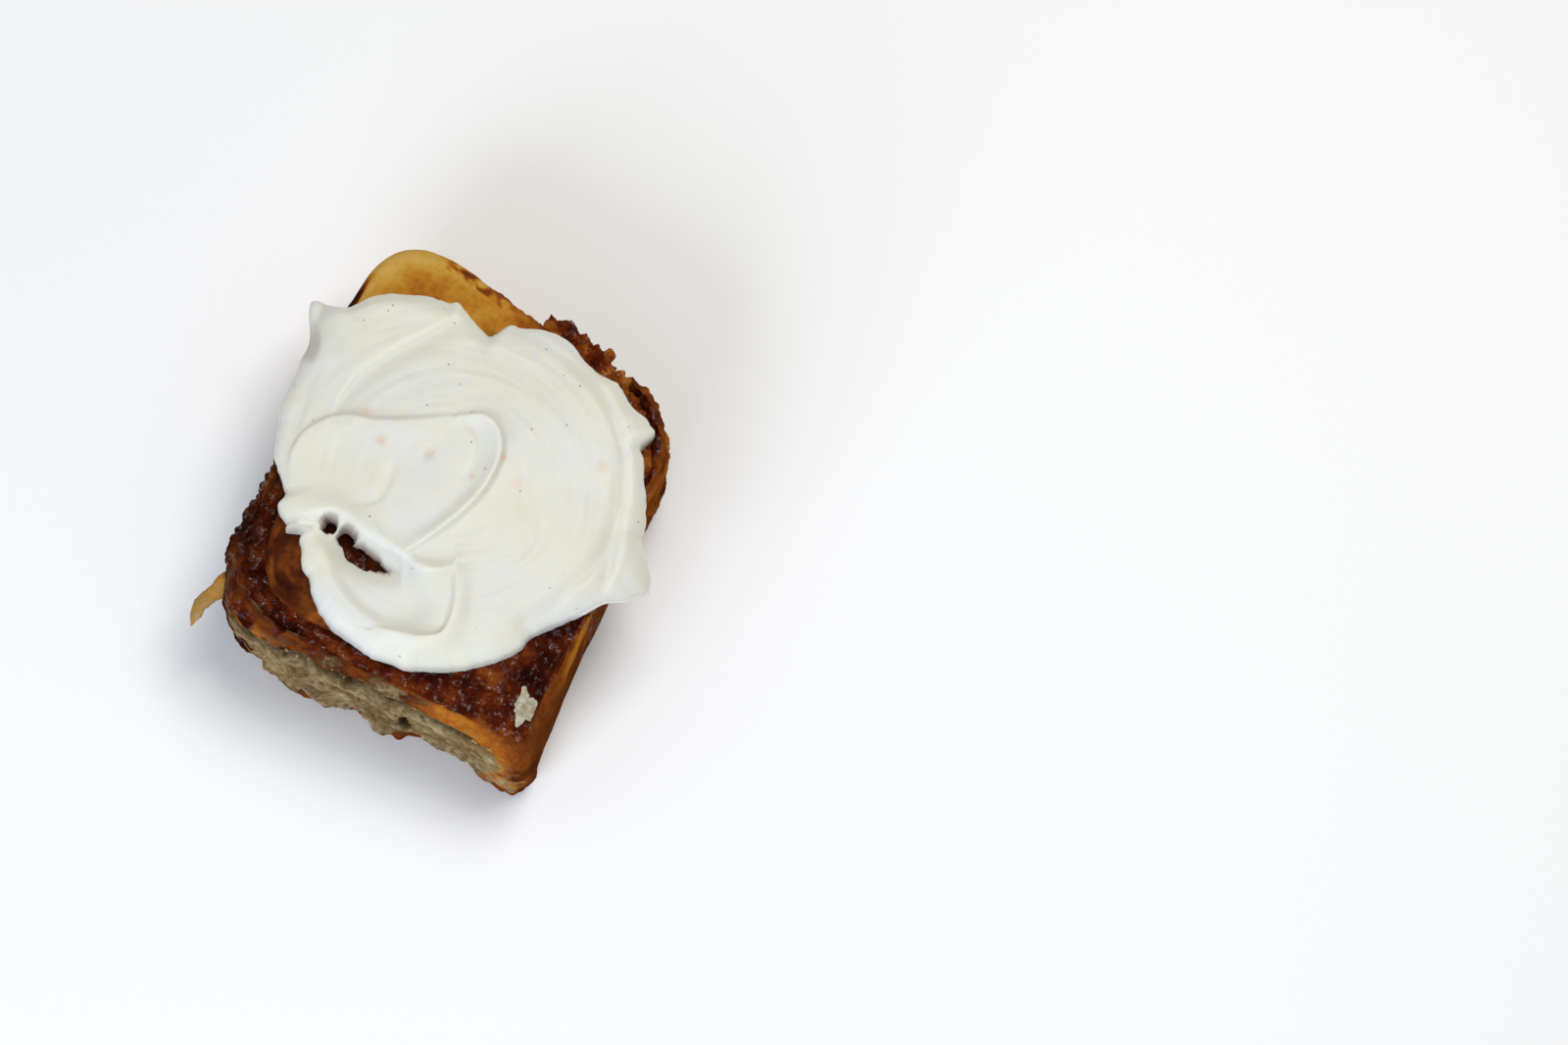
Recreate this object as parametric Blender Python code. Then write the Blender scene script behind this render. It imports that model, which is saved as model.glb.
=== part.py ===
"""A pan-baked cinnamon roll, pulled from its neighbours and spread with vanilla frosting.

One strip of dough is wound into a coil with a squarish outline. A ribbon of cinnamon
filling lies between its turns, and the frosting sits on top. +Z is up and +Y is the
longer side. The coil is worked out in polar form about its own centre.
"""

import math

import bmesh
import bpy

MM = 0.001

# The roll as a block: each straight side is (direction it faces in degrees, distance from the centre).
SIDES = ((8.0, 40.1 * MM), (85.3, 49.4 * MM), (187.1, 42.1 * MM), (275.0, 49.8 * MM))
MEAN_RADIUS = 49.0 * MM
CORNER_SHARPNESS = 7.3
# A corner sharper or rounder than that: (direction, change of sharpness, spread).
ODD_CORNERS = ((316.0, 8.7, 26.0), (132.0, -1.9, 30.0), (54.0, 0.7, 20.0))
# Where the outline swells past that: (direction, how much, spread).
SWELLS = (
    (40.0, 3.6 * MM, 10.0),
    (120.0, 1.2 * MM, 10.0),
    (149.0, -1.4 * MM, 13.0),
    (218.0, 1.8 * MM, 12.0),
    (313.0, 2.2 * MM, 7.0),
)
RIM_HEIGHT = 34.0 * MM
DOME_HEIGHT = 4.0 * MM
# Where the rim of the top sinks: (direction, how much, spread).
RIM_DROPS = ((316.0, 4.5 * MM, 19.0), (214.0, 2.5 * MM, 19.0), (236.0, 2.0 * MM, 10.0))

# The strip of dough, counted in turns from its outer tip and wound clockwise inward.
TIP_ANGLE = 94.0
TIP_TURN = 0.08
TAPER_TURNS = 0.22
THIN_TURN = 5.6 * MM
FULL_TURN = 12.5 * MM
THICKENING_START = 0.62
THICKENING_END = 0.86
STRIP_END = 4.47
SHARED_FACE = (0.93, 1.03)
EYE_RADIUS = 0.7 * MM
OUTER_STEP = 3.7 * MM
INNER_STEP = 5.0 * MM
EYE_STEP_RADIUS = 13.0 * MM
CORNER_FINENESS = 0.4
ROUNDING_RATE = 2.5

# The seams between the turns.
FILLING_HALF = 0.85 * MM
SEAM_GAP = 0.35 * MM
CHANNEL = FILLING_HALF + SEAM_GAP
FILLING_START = 1.01
FILLING_END = 4.45
FILLING_BASE = 0.4 * MM
FILLING_SUNK = 1.5 * MM
FILLING_CROWN_SUNK = 1.1 * MM
CRUST_BULGE = 1.3 * MM
SHOULDER_WIDTH = 4.2 * MM
SHOULDER_DEPTH = 6.0 * MM
POOL_WIDTH = 4.5 * MM
POOL_ANGLE = 316.0
POOL_SPREAD = 26.0
RIM_SHOULDER_WIDTH = 5.0 * MM
RIM_SHOULDER_DEPTH = 7.5 * MM
OUTER_SHARE = 0.5
INNER_SHARE = 0.38

# The outer wall, and how much narrower the whole roll is at its foot, as a share of its radius.
BARREL = 0.8 * MM
FOOT_HEIGHT = 3.5 * MM
FOOT_TUCK = 1.0 * MM
LEAST_WALL = 1.3 * MM
FOOT_SHARE = 0.03
TORN_FOOT_SHARE = 0.045
TORN_SIDE = 266.0
TORN_SPREAD = 30.0
TORN_SEAM_DEPTH = 1.4 * MM
TORN_SEAM_HEIGHT = 27.0 * MM
TORN_SEAM_SPREAD = 2.2 * MM
# Where the torn side's foot stands out or has come away: (direction, how much, spread).
RAGGED_FOOT = ((241.0, -2.4 * MM, 7.0), (260.0, 3.0 * MM, 7.0), (281.0, 1.8 * MM, 6.0), (300.0, -1.8 * MM, 7.0))
SMOOTH_RELIEF = 0.12 * MM
# Where the wall is rough: (direction, relief, spread).
ROUGH_PLACES = (
    (266.0, 0.75 * MM, 26.0),
    (214.0, 0.9 * MM, 20.0),
    (62.0, 0.8 * MM, 26.0),
    (100.0, 0.45 * MM, 14.0),
)

# The frosting.
FROSTING_RADIUS = 42.0 * MM
# Lobes and bays of its edge: (direction, how far it reaches out, spread).
FROSTING_EDGE = (
    (5.0, 6.8 * MM, 9.0),
    (24.0, 2.1 * MM, 12.0),
    (38.0, 1.3 * MM, 7.0),
    (50.0, 5.8 * MM, 7.5),
    (64.0, 3.9 * MM, 8.0),
    (86.0, 4.1 * MM, 11.0),
    (109.0, -2.4 * MM, 6.0),
    (121.0, 2.1 * MM, 8.0),
    (141.0, 9.3 * MM, 17.0),
    (154.0, 7.2 * MM, 5.0),
    (162.0, 4.3 * MM, 10.0),
    (177.0, 2.6 * MM, 11.0),
    (210.0, -4.2 * MM, 10.0),
    (216.0, 1.6 * MM, 3.5),
    (230.0, -5.2 * MM, 11.0),
    (245.0, -1.9 * MM, 8.0),
    (283.0, 1.2 * MM, 15.0),
    (332.0, -3.3 * MM, 11.0),
)
FROSTING_GAP = 0.5 * MM
FROSTING_THICKNESS = 5.2 * MM
FROSTING_ROUNDING = 7.0 * MM
FROSTING_LIP = 1.5 * MM
MOST_DROOP = 3.6 * MM
DROOP_START = 1.4 * MM
DROOP_REACH = 9.0 * MM
FROSTING_SPOKES = 70
TOP_RINGS = (0.1, 0.2, 0.3, 0.4, 0.49, 0.58, 0.67, 0.75, 0.83, 0.89, 0.94, 0.98)
BOTTOM_RINGS = (0.985, 0.955, 0.92, 0.885, 0.84, 0.79, 0.7, 0.5, 0.25)

# Spatula marks in the frosting, in its own plane.
FLAP_CENTRE = (-14.5 * MM, -3.0 * MM)
FLAP_SIZE = (25.0 * MM, 17.0 * MM)
FLAP_TURN = 24.0
FLAP_STEP = 0.8 * MM
CREST_HEIGHT = 1.9 * MM
CREST_WIDTH = 2.4 * MM
SCOOP_CENTRE = (-2.5 * MM, -29.0 * MM)
SCOOP_SIZE = (16.5 * MM, 8.5 * MM)
SCOOP_TURN = -14.0
SCOOP_DEPTH = 2.0 * MM
STROKE_CENTRE = (22.0 * MM, -4.0 * MM)
STROKE_RADIUS = 52.0 * MM
STROKE_DEPTH = 0.9 * MM
STROKE_WIDTH = 2.6 * MM
RIM_GROOVE_PLACE = 0.89
RIM_GROOVE_DEPTH = 0.8 * MM
RIM_GROOVE_WIDTH = 0.045

# The gap in the frosting where the filling shows: a bent slit that is widest near its outer end.
HOLE_START = (-21.6 * MM, -20.0 * MM)
HOLE_END = (-3.0 * MM, -21.6 * MM)
HOLE_SAG = 2.0 * MM
HOLE_HALF_WIDTH = 1.9 * MM
HOLE_POINTS = 10

# A shred of the dough that stuck to the next roll, drawn out from the torn corner.
SHRED_PATH = (
    (-34.3 * MM, -39.0 * MM, 26.5 * MM),
    (-35.6 * MM, -42.3 * MM, 27.0 * MM),
    (-37.4 * MM, -45.2 * MM, 25.5 * MM),
    (-38.9 * MM, -48.6 * MM, 23.4 * MM),
    (-38.7 * MM, -52.8 * MM, 20.2 * MM),
)
SHRED_RADII = (2.4 * MM, 2.5 * MM, 1.8 * MM, 2.0 * MM, 0.8 * MM)
SHRED_SIDES = 8

# A scrap of bread crumb that lies on the glaze.
FLAKE_PLACE = (39.7 * MM, -35.7 * MM)
FLAKE_LENGTH = 7.8 * MM
FLAKE_WIDTH = 4.8 * MM
FLAKE_THICKNESS = 1.3 * MM
FLAKE_TURN = 112.0
FLAKE_GAP = 0.6 * MM
FLAKE_POINTS = 14


def smooth(share):
    """0 below 0, 1 above 1, and an even S between them."""
    share = min(max(share, 0.0), 1.0)
    return share * share * (3.0 - 2.0 * share)


def bump(angle, centre, spread):
    """1 at the centre direction, falling away to either side of it."""
    apart = (angle - centre + 180.0) % 360.0 - 180.0
    return math.exp(-((apart / spread) ** 2))


def total_bump(angle, places):
    return sum(size * bump(angle, centre, spread) for centre, size, spread in places)


def outline(angle):
    """The roll's outer radius in one direction: straight sides joined by rounded corners, and swells."""
    sharpness = CORNER_SHARPNESS + total_bump(angle, ODD_CORNERS)
    reach = 0.0
    for facing, distance in SIDES:
        towards = math.cos(math.radians(angle - facing))
        reach += max(0.0, towards / distance) ** sharpness
    return reach ** (-1.0 / sharpness) + total_bump(angle, SWELLS)


def top_height(angle, radius):
    """The height of the dough's crowns: a low dome whose rim sinks at two corners."""
    share = min(radius / outline(angle), 1.1)
    return RIM_HEIGHT + DOME_HEIGHT * (1.0 - share**2) - total_bump(angle, RIM_DROPS) * share**7


def turn_angle(turn):
    return TIP_ANGLE - 360.0 * turn


def turn_thickness(turn, seams_in):
    """The strip's thickness with its seam: it tapers to the outer tip, and its last turn is stretched thin.

    Seen from a seam further in, both changes are spread over a longer stretch.
    """
    taper = 1.0 - max(0.0, 1.0 - turn / (TAPER_TURNS * seams_in)) ** 2.2
    start = THICKENING_START / seams_in
    full = smooth((turn - start) / (THICKENING_END - start))
    return THIN_TURN * taper + (FULL_TURN - THIN_TURN) * full


def boundary(turn):
    """The radius of the outer face of the strip. Each turn inward lies one thickness inside the last."""
    seams_in = int(turn)
    depth = sum(turn_thickness(turn - back, seams_in) for back in range(1, seams_in + 1))
    share = min(depth / MEAN_RADIUS, 1.0)
    roundness = min(ROUNDING_RATE * share, 1.0)
    shape = (1.0 - roundness) * outline(turn_angle(turn)) + roundness * MEAN_RADIUS
    return (1.0 - share) * shape


def exposure(turn):
    """1 where the strip's outer face is the outside of the roll, 0 where another turn covers it."""
    return 1.0 - smooth((turn - SHARED_FACE[0]) / (SHARED_FACE[1] - SHARED_FACE[0]))


def wall_radii(turn):
    """The radii of the strip's inner and outer walls."""
    outer = boundary(turn) - CHANNEL * (1.0 - exposure(turn))
    inner = max(boundary(turn + 1.0) + CHANNEL, EYE_RADIUS)
    return inner, outer


def outer_shoulder(turn):
    """The width and depth of the rounded edge along the strip's outer side."""
    inner, outer = wall_radii(turn)
    shown = exposure(turn)
    pool = POOL_WIDTH * bump(turn_angle(turn), POOL_ANGLE, POOL_SPREAD)
    width = shown * RIM_SHOULDER_WIDTH + (1.0 - shown) * (SHOULDER_WIDTH + pool)
    depth = shown * RIM_SHOULDER_DEPTH + (1.0 - shown) * SHOULDER_DEPTH
    return min(width, OUTER_SHARE * (outer - inner)), depth


def inner_shoulder(turn):
    inner, outer = wall_radii(turn)
    return min(SHOULDER_WIDTH, INNER_SHARE * (outer - inner)), SHOULDER_DEPTH


def crags(angle, height):
    """Uneven relief between -1 and 1 over the wall, from waves that never line up."""
    around = math.radians(angle)
    up = height / (6.0 * MM)
    return (
        0.40 * math.sin(23.0 * around + 1.9 * up)
        + 0.30 * math.sin(37.0 * around - 2.7 * up + 1.0)
        + 0.30 * math.sin(14.0 * around + 3.6 * up + 2.3)
    )


def wall_relief(angle, height, rim):
    """How far the outer wall stands off its outline at a height: barrel, tucked foot and torn crumb."""
    middle = 0.55 * rim
    barrel = -BARREL * ((height - middle) / middle) ** 2
    foot = -FOOT_TUCK * max(0.0, 1.0 - height / FOOT_HEIGHT) ** 2
    torn = bump(angle, TORN_SIDE, TORN_SPREAD)
    off_seam = (height - TORN_SEAM_HEIGHT) / TORN_SEAM_SPREAD
    seam = -TORN_SEAM_DEPTH * torn * math.exp(-(off_seam**2))
    ragged = total_bump(angle, RAGGED_FOOT) * max(0.0, 1.0 - height / TORN_SEAM_HEIGHT)
    relief = SMOOTH_RELIEF + total_bump(angle, ROUGH_PLACES)
    return barrel + foot + seam + ragged + relief * crags(angle, height)


def place(angle, radius, height):
    """A point of the roll, drawn in towards the foot and most of all under the torn side."""
    around = math.radians(angle)
    narrowing = FOOT_SHARE + TORN_FOOT_SHARE * bump(angle, TORN_SIDE, TORN_SPREAD)
    radius *= 1.0 - narrowing * (1.0 - height / RIM_HEIGHT)
    return (radius * math.cos(around), radius * math.sin(around), height)


def strip_section(turn):
    """The strip cut across at one turn: a flat foot, two walls, rounded shoulders and a crown."""
    angle = turn_angle(turn)
    inner, outer = wall_radii(turn)
    out_width, out_depth = outer_shoulder(turn)
    in_width, in_depth = inner_shoulder(turn)
    shown = exposure(turn)
    rim = top_height(angle, outer)
    spring = rim - out_depth
    wall = []
    for share in (0.0, 0.09, 0.3, 0.53, 0.77, 1.0):
        height = share * spring
        radius = outer + shown * wall_relief(angle, height, rim)
        wall.append((max(radius, inner + LEAST_WALL), height))
    edge = wall[-1][0]
    points = [(inner, 0.0), (0.5 * (inner + wall[0][0]), 0.0)] + wall
    for lean in (26.0, 50.0, 70.0, 90.0):
        around = math.radians(lean)
        radius = edge - (out_width + edge - outer) * (1.0 - math.cos(around))
        lift = top_height(angle, radius) - out_depth * (1.0 - math.sin(around))
        points.append((radius, lift))
    for lean in (90.0, 58.0, 28.0, 0.0):
        around = math.radians(lean)
        radius = inner + in_width * (1.0 - math.cos(around))
        lift = top_height(angle, radius) - in_depth * (1.0 - math.sin(around))
        points.append((radius, lift))
    return [place(angle, radius, height) for radius, height in points]


def filling_section(turn):
    """The ribbon of filling cut across: a thin wall between two turns, wider where it shows on top."""
    angle = turn_angle(turn)
    centre = boundary(turn)
    fade = smooth((turn - FILLING_START) / 0.02) * smooth((1.07 - turn) / 0.02)
    crust = CRUST_BULGE * fade * (1.0 + 0.5 * crags(1.7 * angle, 0.0))
    in_width, in_depth = outer_shoulder(turn)
    out_width, out_depth = inner_shoulder(turn - 1.0)
    top_lean = math.asin(1.0 - FILLING_SUNK / SHOULDER_DEPTH)
    points = [(centre - FILLING_HALF, FILLING_BASE), (centre + FILLING_HALF, FILLING_BASE)]
    for share in (0.0, 0.5, 0.97):
        lean = share * top_lean
        wall = centre + CHANNEL + out_width * (1.0 - math.cos(lean))
        lift = top_height(angle, wall) - out_depth * (1.0 - math.sin(lean))
        radius = wall - SEAM_GAP * math.cos(lean) + crust
        points.append((radius, lift + SEAM_GAP * math.sin(lean)))
    points.append((centre, top_height(angle, centre) - FILLING_CROWN_SUNK))
    for share in (0.97, 0.5, 0.0):
        lean = share * top_lean
        wall = centre - CHANNEL - in_width * (1.0 - math.cos(lean))
        lift = top_height(angle, wall) - in_depth * (1.0 - math.sin(lean))
        points.append((wall + SEAM_GAP * math.cos(lean), lift + SEAM_GAP * math.sin(lean)))
    return [place(angle, radius, height) for radius, height in points]


def stations(start, end):
    """Turn counts from start to end, closer together on the outer turns, which show."""
    turns = [start]
    while turns[-1] < end:
        turn = turns[-1]
        step = OUTER_STEP + (INNER_STEP - OUTER_STEP) * smooth(turn - 1.3)
        step *= 1.0 - CORNER_FINENESS * bump(turn_angle(turn), POOL_ANGLE, POOL_SPREAD)
        turns.append(turn + step / (math.tau * max(boundary(turn), EYE_STEP_RADIUS)))
    turns[-1] = end
    return turns


def mesh_object(name, vertices, faces, finish):
    """A named object from points and faces, with its faces turned outward."""
    mesh = bpy.data.meshes.new(name)
    mesh.from_pydata(vertices, [], faces)
    body = bmesh.new()
    body.from_mesh(mesh)
    bmesh.ops.triangulate(body, faces=[face for face in body.faces if len(face.verts) > 4])
    bmesh.ops.recalc_face_normals(body, faces=body.faces)
    body.to_mesh(mesh)
    body.free()
    mesh.shade_smooth()
    mesh.materials.append(finish)
    made = bpy.data.objects.new(name, mesh)
    bpy.context.scene.collection.objects.link(made)
    return made


def swept(name, sections, finish):
    """A closed solid through sections of equal point counts, capped at both ends."""
    count = len(sections[0])
    vertices = [point for section in sections for point in section]
    faces = [tuple(range(count)), tuple(range(len(vertices) - count, len(vertices)))]
    for row in range(len(sections) - 1):
        for column in range(count):
            here = row * count + column
            beside = row * count + (column + 1) % count
            faces.append((here, beside, beside + count, here + count))
    return mesh_object(name, vertices, faces, finish)


def finish_of(name, colour, roughness):
    """A Principled finish with one colour and roughness, not metallic."""
    material = bpy.data.materials.new(name)
    material.use_nodes = True
    shader = material.node_tree.nodes["Principled BSDF"]
    shader.inputs["Base Color"].default_value = (*colour, 1.0)
    shader.inputs["Roughness"].default_value = roughness
    shader.inputs["Metallic"].default_value = 0.0
    return material


def apply_boolean(target, operation, tools):
    """Joins or cuts the target with every object of a collection, then removes those objects."""
    modifier = target.modifiers.new(operation.title(), "BOOLEAN")
    modifier.operation = operation
    modifier.operand_type = "COLLECTION"
    modifier.collection = tools
    bpy.context.view_layer.update()
    graph = bpy.context.evaluated_depsgraph_get()
    result = bpy.data.meshes.new_from_object(target.evaluated_get(graph))
    target.modifiers.remove(modifier)
    old = target.data
    target.data = result
    result.name = target.name
    bpy.data.meshes.remove(old)
    for tool in list(tools.objects):
        bpy.data.objects.remove(tool, do_unlink=True)
    bpy.data.collections.remove(tools)


def into_collection(name, things):
    """Moves objects into a new collection of their own."""
    group = bpy.data.collections.new(name)
    bpy.context.scene.collection.children.link(group)
    for thing in things:
        bpy.context.scene.collection.objects.unlink(thing)
        group.objects.link(thing)
    return group


def make_shred(finish):
    """A bent, tapering finger of dough whose root lies inside the torn corner."""
    sections = []
    for (x, y, z), radius in zip(SHRED_PATH, SHRED_RADII):
        ring = []
        for side in range(SHRED_SIDES):
            around = math.tau * side / SHRED_SIDES
            wide = radius * math.cos(around)
            ring.append((x + 0.91 * wide, y - 0.41 * wide, z + 0.8 * radius * math.sin(around)))
        sections.append(ring)
    return swept("shred", sections, finish)


def make_dough(finish):
    sections = [strip_section(turn) for turn in stations(TIP_TURN, STRIP_END)]
    dough = swept("dough", sections, finish)
    shred = make_shred(finish)
    apply_boolean(dough, "UNION", into_collection("dough scraps", [shred]))
    return dough


def make_filling(finish):
    sections = [filling_section(turn) for turn in stations(FILLING_START, FILLING_END)]
    return swept("cinnamon_filling", sections, finish)


def frosting_edge(angle):
    return FROSTING_RADIUS + total_bump(angle, FROSTING_EDGE)


def oval(x, y, centre, size, turn):
    """How far a point is from an oval's middle, where 1 is its edge, and its direction there."""
    cosine = math.cos(math.radians(turn))
    sine = math.sin(math.radians(turn))
    along = (x - centre[0]) * cosine + (y - centre[1]) * sine
    across = -(x - centre[0]) * sine + (y - centre[1]) * cosine
    reach = math.hypot(along / size[0], across / size[1])
    return reach, math.degrees(math.atan2(across / size[1], along / size[0]))


def spatula_marks(x, y, angle, share):
    """The height that the spreading left: a folded flap with a crest, a scoop, a long stroke and a rim groove."""
    flap, flap_side = oval(x, y, FLAP_CENTRE, FLAP_SIZE, FLAP_TURN)
    inside_flap = smooth((1.08 - flap) / 0.16)
    off_edge = (flap - 1.0) * 0.5 * (FLAP_SIZE[0] + FLAP_SIZE[1])
    crest = CREST_HEIGHT * bump(flap_side, 12.0, 58.0) * math.exp(-((off_edge / CREST_WIDTH) ** 2))
    scoop, _ = oval(x, y, SCOOP_CENTRE, SCOOP_SIZE, SCOOP_TURN)
    hollow = SCOOP_DEPTH * smooth((1.05 - scoop) / 0.4) * (1.0 - inside_flap)
    off_stroke = math.hypot(x - STROKE_CENTRE[0], y - STROKE_CENTRE[1]) - STROKE_RADIUS
    stroke = STROKE_DEPTH * bump(angle, 138.0, 34.0) * math.exp(-((off_stroke / STROKE_WIDTH) ** 2))
    groove = RIM_GROOVE_DEPTH * math.exp(-(((share - RIM_GROOVE_PLACE) / RIM_GROOVE_WIDTH) ** 2))
    groove *= bump(angle, 22.0, 62.0)
    return FLAP_STEP * inside_flap + crest - hollow - stroke - groove


def frosting_under(angle, radius):
    """The underside: just above the crowns, drooping where it passes the roll's rounded rim."""
    turn = ((TIP_ANGLE - angle) / 360.0) % 1.0
    width, _ = outer_shoulder(turn)
    past = max(0.0, radius - (outline(angle) - width + DROOP_START))
    droop = MOST_DROOP * min(past / DROOP_REACH, 1.0) ** 2
    return top_height(angle, radius) + FROSTING_GAP - droop


def frosting_points(angle, share, upper):
    """A point of the frosting's top or underside at a share of the way out to its edge."""
    edge = frosting_edge(angle)
    radius = share * edge
    under = frosting_under(angle, radius)
    inward = min((edge - radius) / FROSTING_ROUNDING, 1.0)
    full = math.sqrt(1.0 - (1.0 - inward) ** 2)
    x, y, _ = place(angle, radius, under)
    if upper:
        marks = spatula_marks(x, y, angle, share) * smooth(2.0 * inward)
        return (x, y, under + FROSTING_LIP + (FROSTING_THICKNESS - FROSTING_LIP) * full + marks)
    return (x, y, under)


def make_hole_cutter(finish):
    """A post through the frosting, along a bent line that narrows to both ends."""
    near_side = []
    far_side = []
    for step in range(HOLE_POINTS):
        share = step / (HOLE_POINTS - 1)
        across = HOLE_START[0] + share * (HOLE_END[0] - HOLE_START[0])
        along = HOLE_START[1] + share * (HOLE_END[1] - HOLE_START[1])
        along -= HOLE_SAG * math.sin(math.pi * share)
        half = HOLE_HALF_WIDTH * max(math.sin(math.pi * share**0.75) ** 0.6, 0.25)
        near_side.append((across, along - half))
        far_side.append((across, along + half))
    ring = near_side + far_side[::-1]
    sections = [[(x, y, height) for x, y in ring] for height in (RIM_HEIGHT, RIM_HEIGHT + 20.0 * MM)]
    cutter = swept("frosting hole", sections, finish)
    cutter.hide_render = True
    cutter.display_type = "WIRE"
    return cutter


def make_frosting(finish):
    """The layer of frosting: rings of points from its middle out over the top and back underneath."""
    rings = [(share, True) for share in TOP_RINGS] + [(1.0, True)]
    rings += [(share, False) for share in (1.0,) + BOTTOM_RINGS]
    angles = [360.0 * spoke / FROSTING_SPOKES for spoke in range(FROSTING_SPOKES)]
    vertices = [frosting_points(angle, share, upper) for share, upper in rings for angle in angles]
    top_middle = len(vertices)
    vertices.append(frosting_points(0.0, 0.0, True))
    bottom_middle = len(vertices)
    vertices.append(frosting_points(0.0, 0.0, False))
    faces = []
    last = (len(rings) - 1) * FROSTING_SPOKES
    for spoke in range(FROSTING_SPOKES):
        beside = (spoke + 1) % FROSTING_SPOKES
        faces.append((top_middle, spoke, beside))
        faces.append((bottom_middle, last + beside, last + spoke))
        for ring in range(len(rings) - 1):
            row = ring * FROSTING_SPOKES
            below = row + FROSTING_SPOKES
            faces.append((row + spoke, below + spoke, below + beside, row + beside))
    frosting = mesh_object("frosting", vertices, faces, finish)
    cutter = make_hole_cutter(finish)
    apply_boolean(frosting, "DIFFERENCE", into_collection("frosting cutters", [cutter]))
    return frosting


def make_flake(finish):
    """A thin, ragged, slightly cupped scrap that lies just clear of the glaze."""
    across_x, across_y = FLAKE_PLACE
    angle = math.degrees(math.atan2(across_y, across_x)) % 360.0
    rest = top_height(angle, math.hypot(across_x, across_y)) - FILLING_CROWN_SUNK + FLAKE_GAP
    turn = math.radians(FLAKE_TURN)
    sections = []
    for level, spread in ((0.0, 0.72), (0.45, 1.0), (1.0, 0.8)):
        ring = []
        for step in range(FLAKE_POINTS):
            around = math.tau * step / FLAKE_POINTS
            ragged = spread * (1.0 + 0.16 * math.sin(3.0 * around) + 0.12 * math.sin(5.0 * around + 1.0))
            along = 0.5 * FLAKE_LENGTH * ragged * math.cos(around)
            beside = 0.5 * FLAKE_WIDTH * ragged * math.sin(around)
            lift = FLAKE_THICKNESS * (level + 0.3 * math.sin(2.0 * around + 0.6) ** 2)
            x = across_x + along * math.cos(turn) - beside * math.sin(turn)
            y = across_y + along * math.sin(turn) + beside * math.cos(turn)
            ring.append((x, y, rest + lift))
        sections.append(ring)
    return swept("bread_flake", sections, finish)


def stand_on_origin(pieces):
    """Places the pieces so that the middle of the whole's underside is at the origin."""
    corners = [vertex.co for piece in pieces for vertex in piece.data.vertices]
    across = 0.5 * (min(corner.x for corner in corners) + max(corner.x for corner in corners))
    along = 0.5 * (min(corner.y for corner in corners) + max(corner.y for corner in corners))
    for piece in pieces:
        piece.location = (-across, -along, 0.0)


def main():
    for thing in list(bpy.data.objects):
        bpy.data.objects.remove(thing, do_unlink=True)
    crust = finish_of("Baked dough crust", (0.38, 0.15, 0.035), 0.5)
    caramel = finish_of("Cinnamon caramel filling", (0.08, 0.018, 0.009), 0.25)
    cream = finish_of("Vanilla frosting", (0.76, 0.74, 0.64), 0.45)
    crumb = finish_of("Bread crumb", (0.55, 0.47, 0.34), 0.85)
    pieces = [make_dough(crust), make_filling(caramel), make_frosting(cream), make_flake(crumb)]
    stand_on_origin(pieces)


main()
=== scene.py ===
"""The looks of a pan-baked cinnamon roll: baked dough, cinnamon caramel, torn crumb and vanilla frosting.

Every shown piece is a numpy surface on the coil that the solid part is built on, in metres, with +Z up.
Directions are degrees round the coil's middle. A turn count says how often the strip has gone round.
"""

import logging
import math
from collections.abc import Callable
from dataclasses import dataclass, field
from enum import Enum
from functools import reduce

import bpy
import numpy as np
from mathutils import Matrix, Vector


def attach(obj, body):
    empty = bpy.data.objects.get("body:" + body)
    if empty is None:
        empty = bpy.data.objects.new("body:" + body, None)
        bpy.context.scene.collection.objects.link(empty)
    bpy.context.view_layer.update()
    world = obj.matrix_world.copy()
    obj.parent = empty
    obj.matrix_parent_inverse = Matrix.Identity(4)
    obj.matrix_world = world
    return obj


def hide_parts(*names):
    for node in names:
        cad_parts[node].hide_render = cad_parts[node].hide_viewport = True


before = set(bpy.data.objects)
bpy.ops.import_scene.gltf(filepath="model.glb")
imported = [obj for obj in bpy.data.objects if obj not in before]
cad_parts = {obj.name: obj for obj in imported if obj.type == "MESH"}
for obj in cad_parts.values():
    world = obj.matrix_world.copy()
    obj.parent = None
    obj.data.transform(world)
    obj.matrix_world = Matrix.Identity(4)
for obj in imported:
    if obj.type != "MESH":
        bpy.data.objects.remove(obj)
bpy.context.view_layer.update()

MM = 0.001
Array = np.ndarray
LOG = logging.getLogger("cinnamon_roll")
# The middle of the openings in the frosting, seen from above.
OPENINGS = (-11.5 * MM, -22.5 * MM)


class Zone(Enum):
    """The parts of a cut through the strip of dough, from its foot round to its inner wall."""

    FOOT = 0
    WALL = 1
    RIM = 2
    CROWN = 3
    EDGE = 4
    SEAM = 5


class StrokeKind(Enum):
    """What a spatula leaves: a ridge stands up, a groove is pressed in."""

    RIDGE = 1.0
    GROOVE = -1.0


def smooth(share: Array) -> Array:
    """An even S: 3 s squared minus 2 s cubed, with values outside 0 to 1 held there."""
    held = np.clip(share, 0.0, 1.0)
    return held * held * (3.0 - 2.0 * held)


def apart(angle: Array, centre: float) -> Array:
    """How far directions are from one direction, from -180 to 180."""
    return (angle - centre + 180.0) % 360.0 - 180.0


def bump(angle: Array, centre: float, spread: float) -> Array:
    """A bell of height 1 round one direction, which falls to about a third over its spread."""
    return np.exp(-((apart(angle, centre) / spread) ** 2))


def total_bump(angle: Array, places: tuple) -> Array:
    """The sum of several bells, each a direction, a size and a spread."""
    return sum(size * bump(angle, centre, spread) for centre, size, spread in places)


def band(angle: Array, start: float, end: float, soft: float) -> Array:
    """A plateau of 1 from one direction to a larger one, whose ends fade over so many degrees."""
    return smooth((0.5 * (end - start) - np.abs(apart(angle, 0.5 * (start + end)))) / soft + 0.5)


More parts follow.
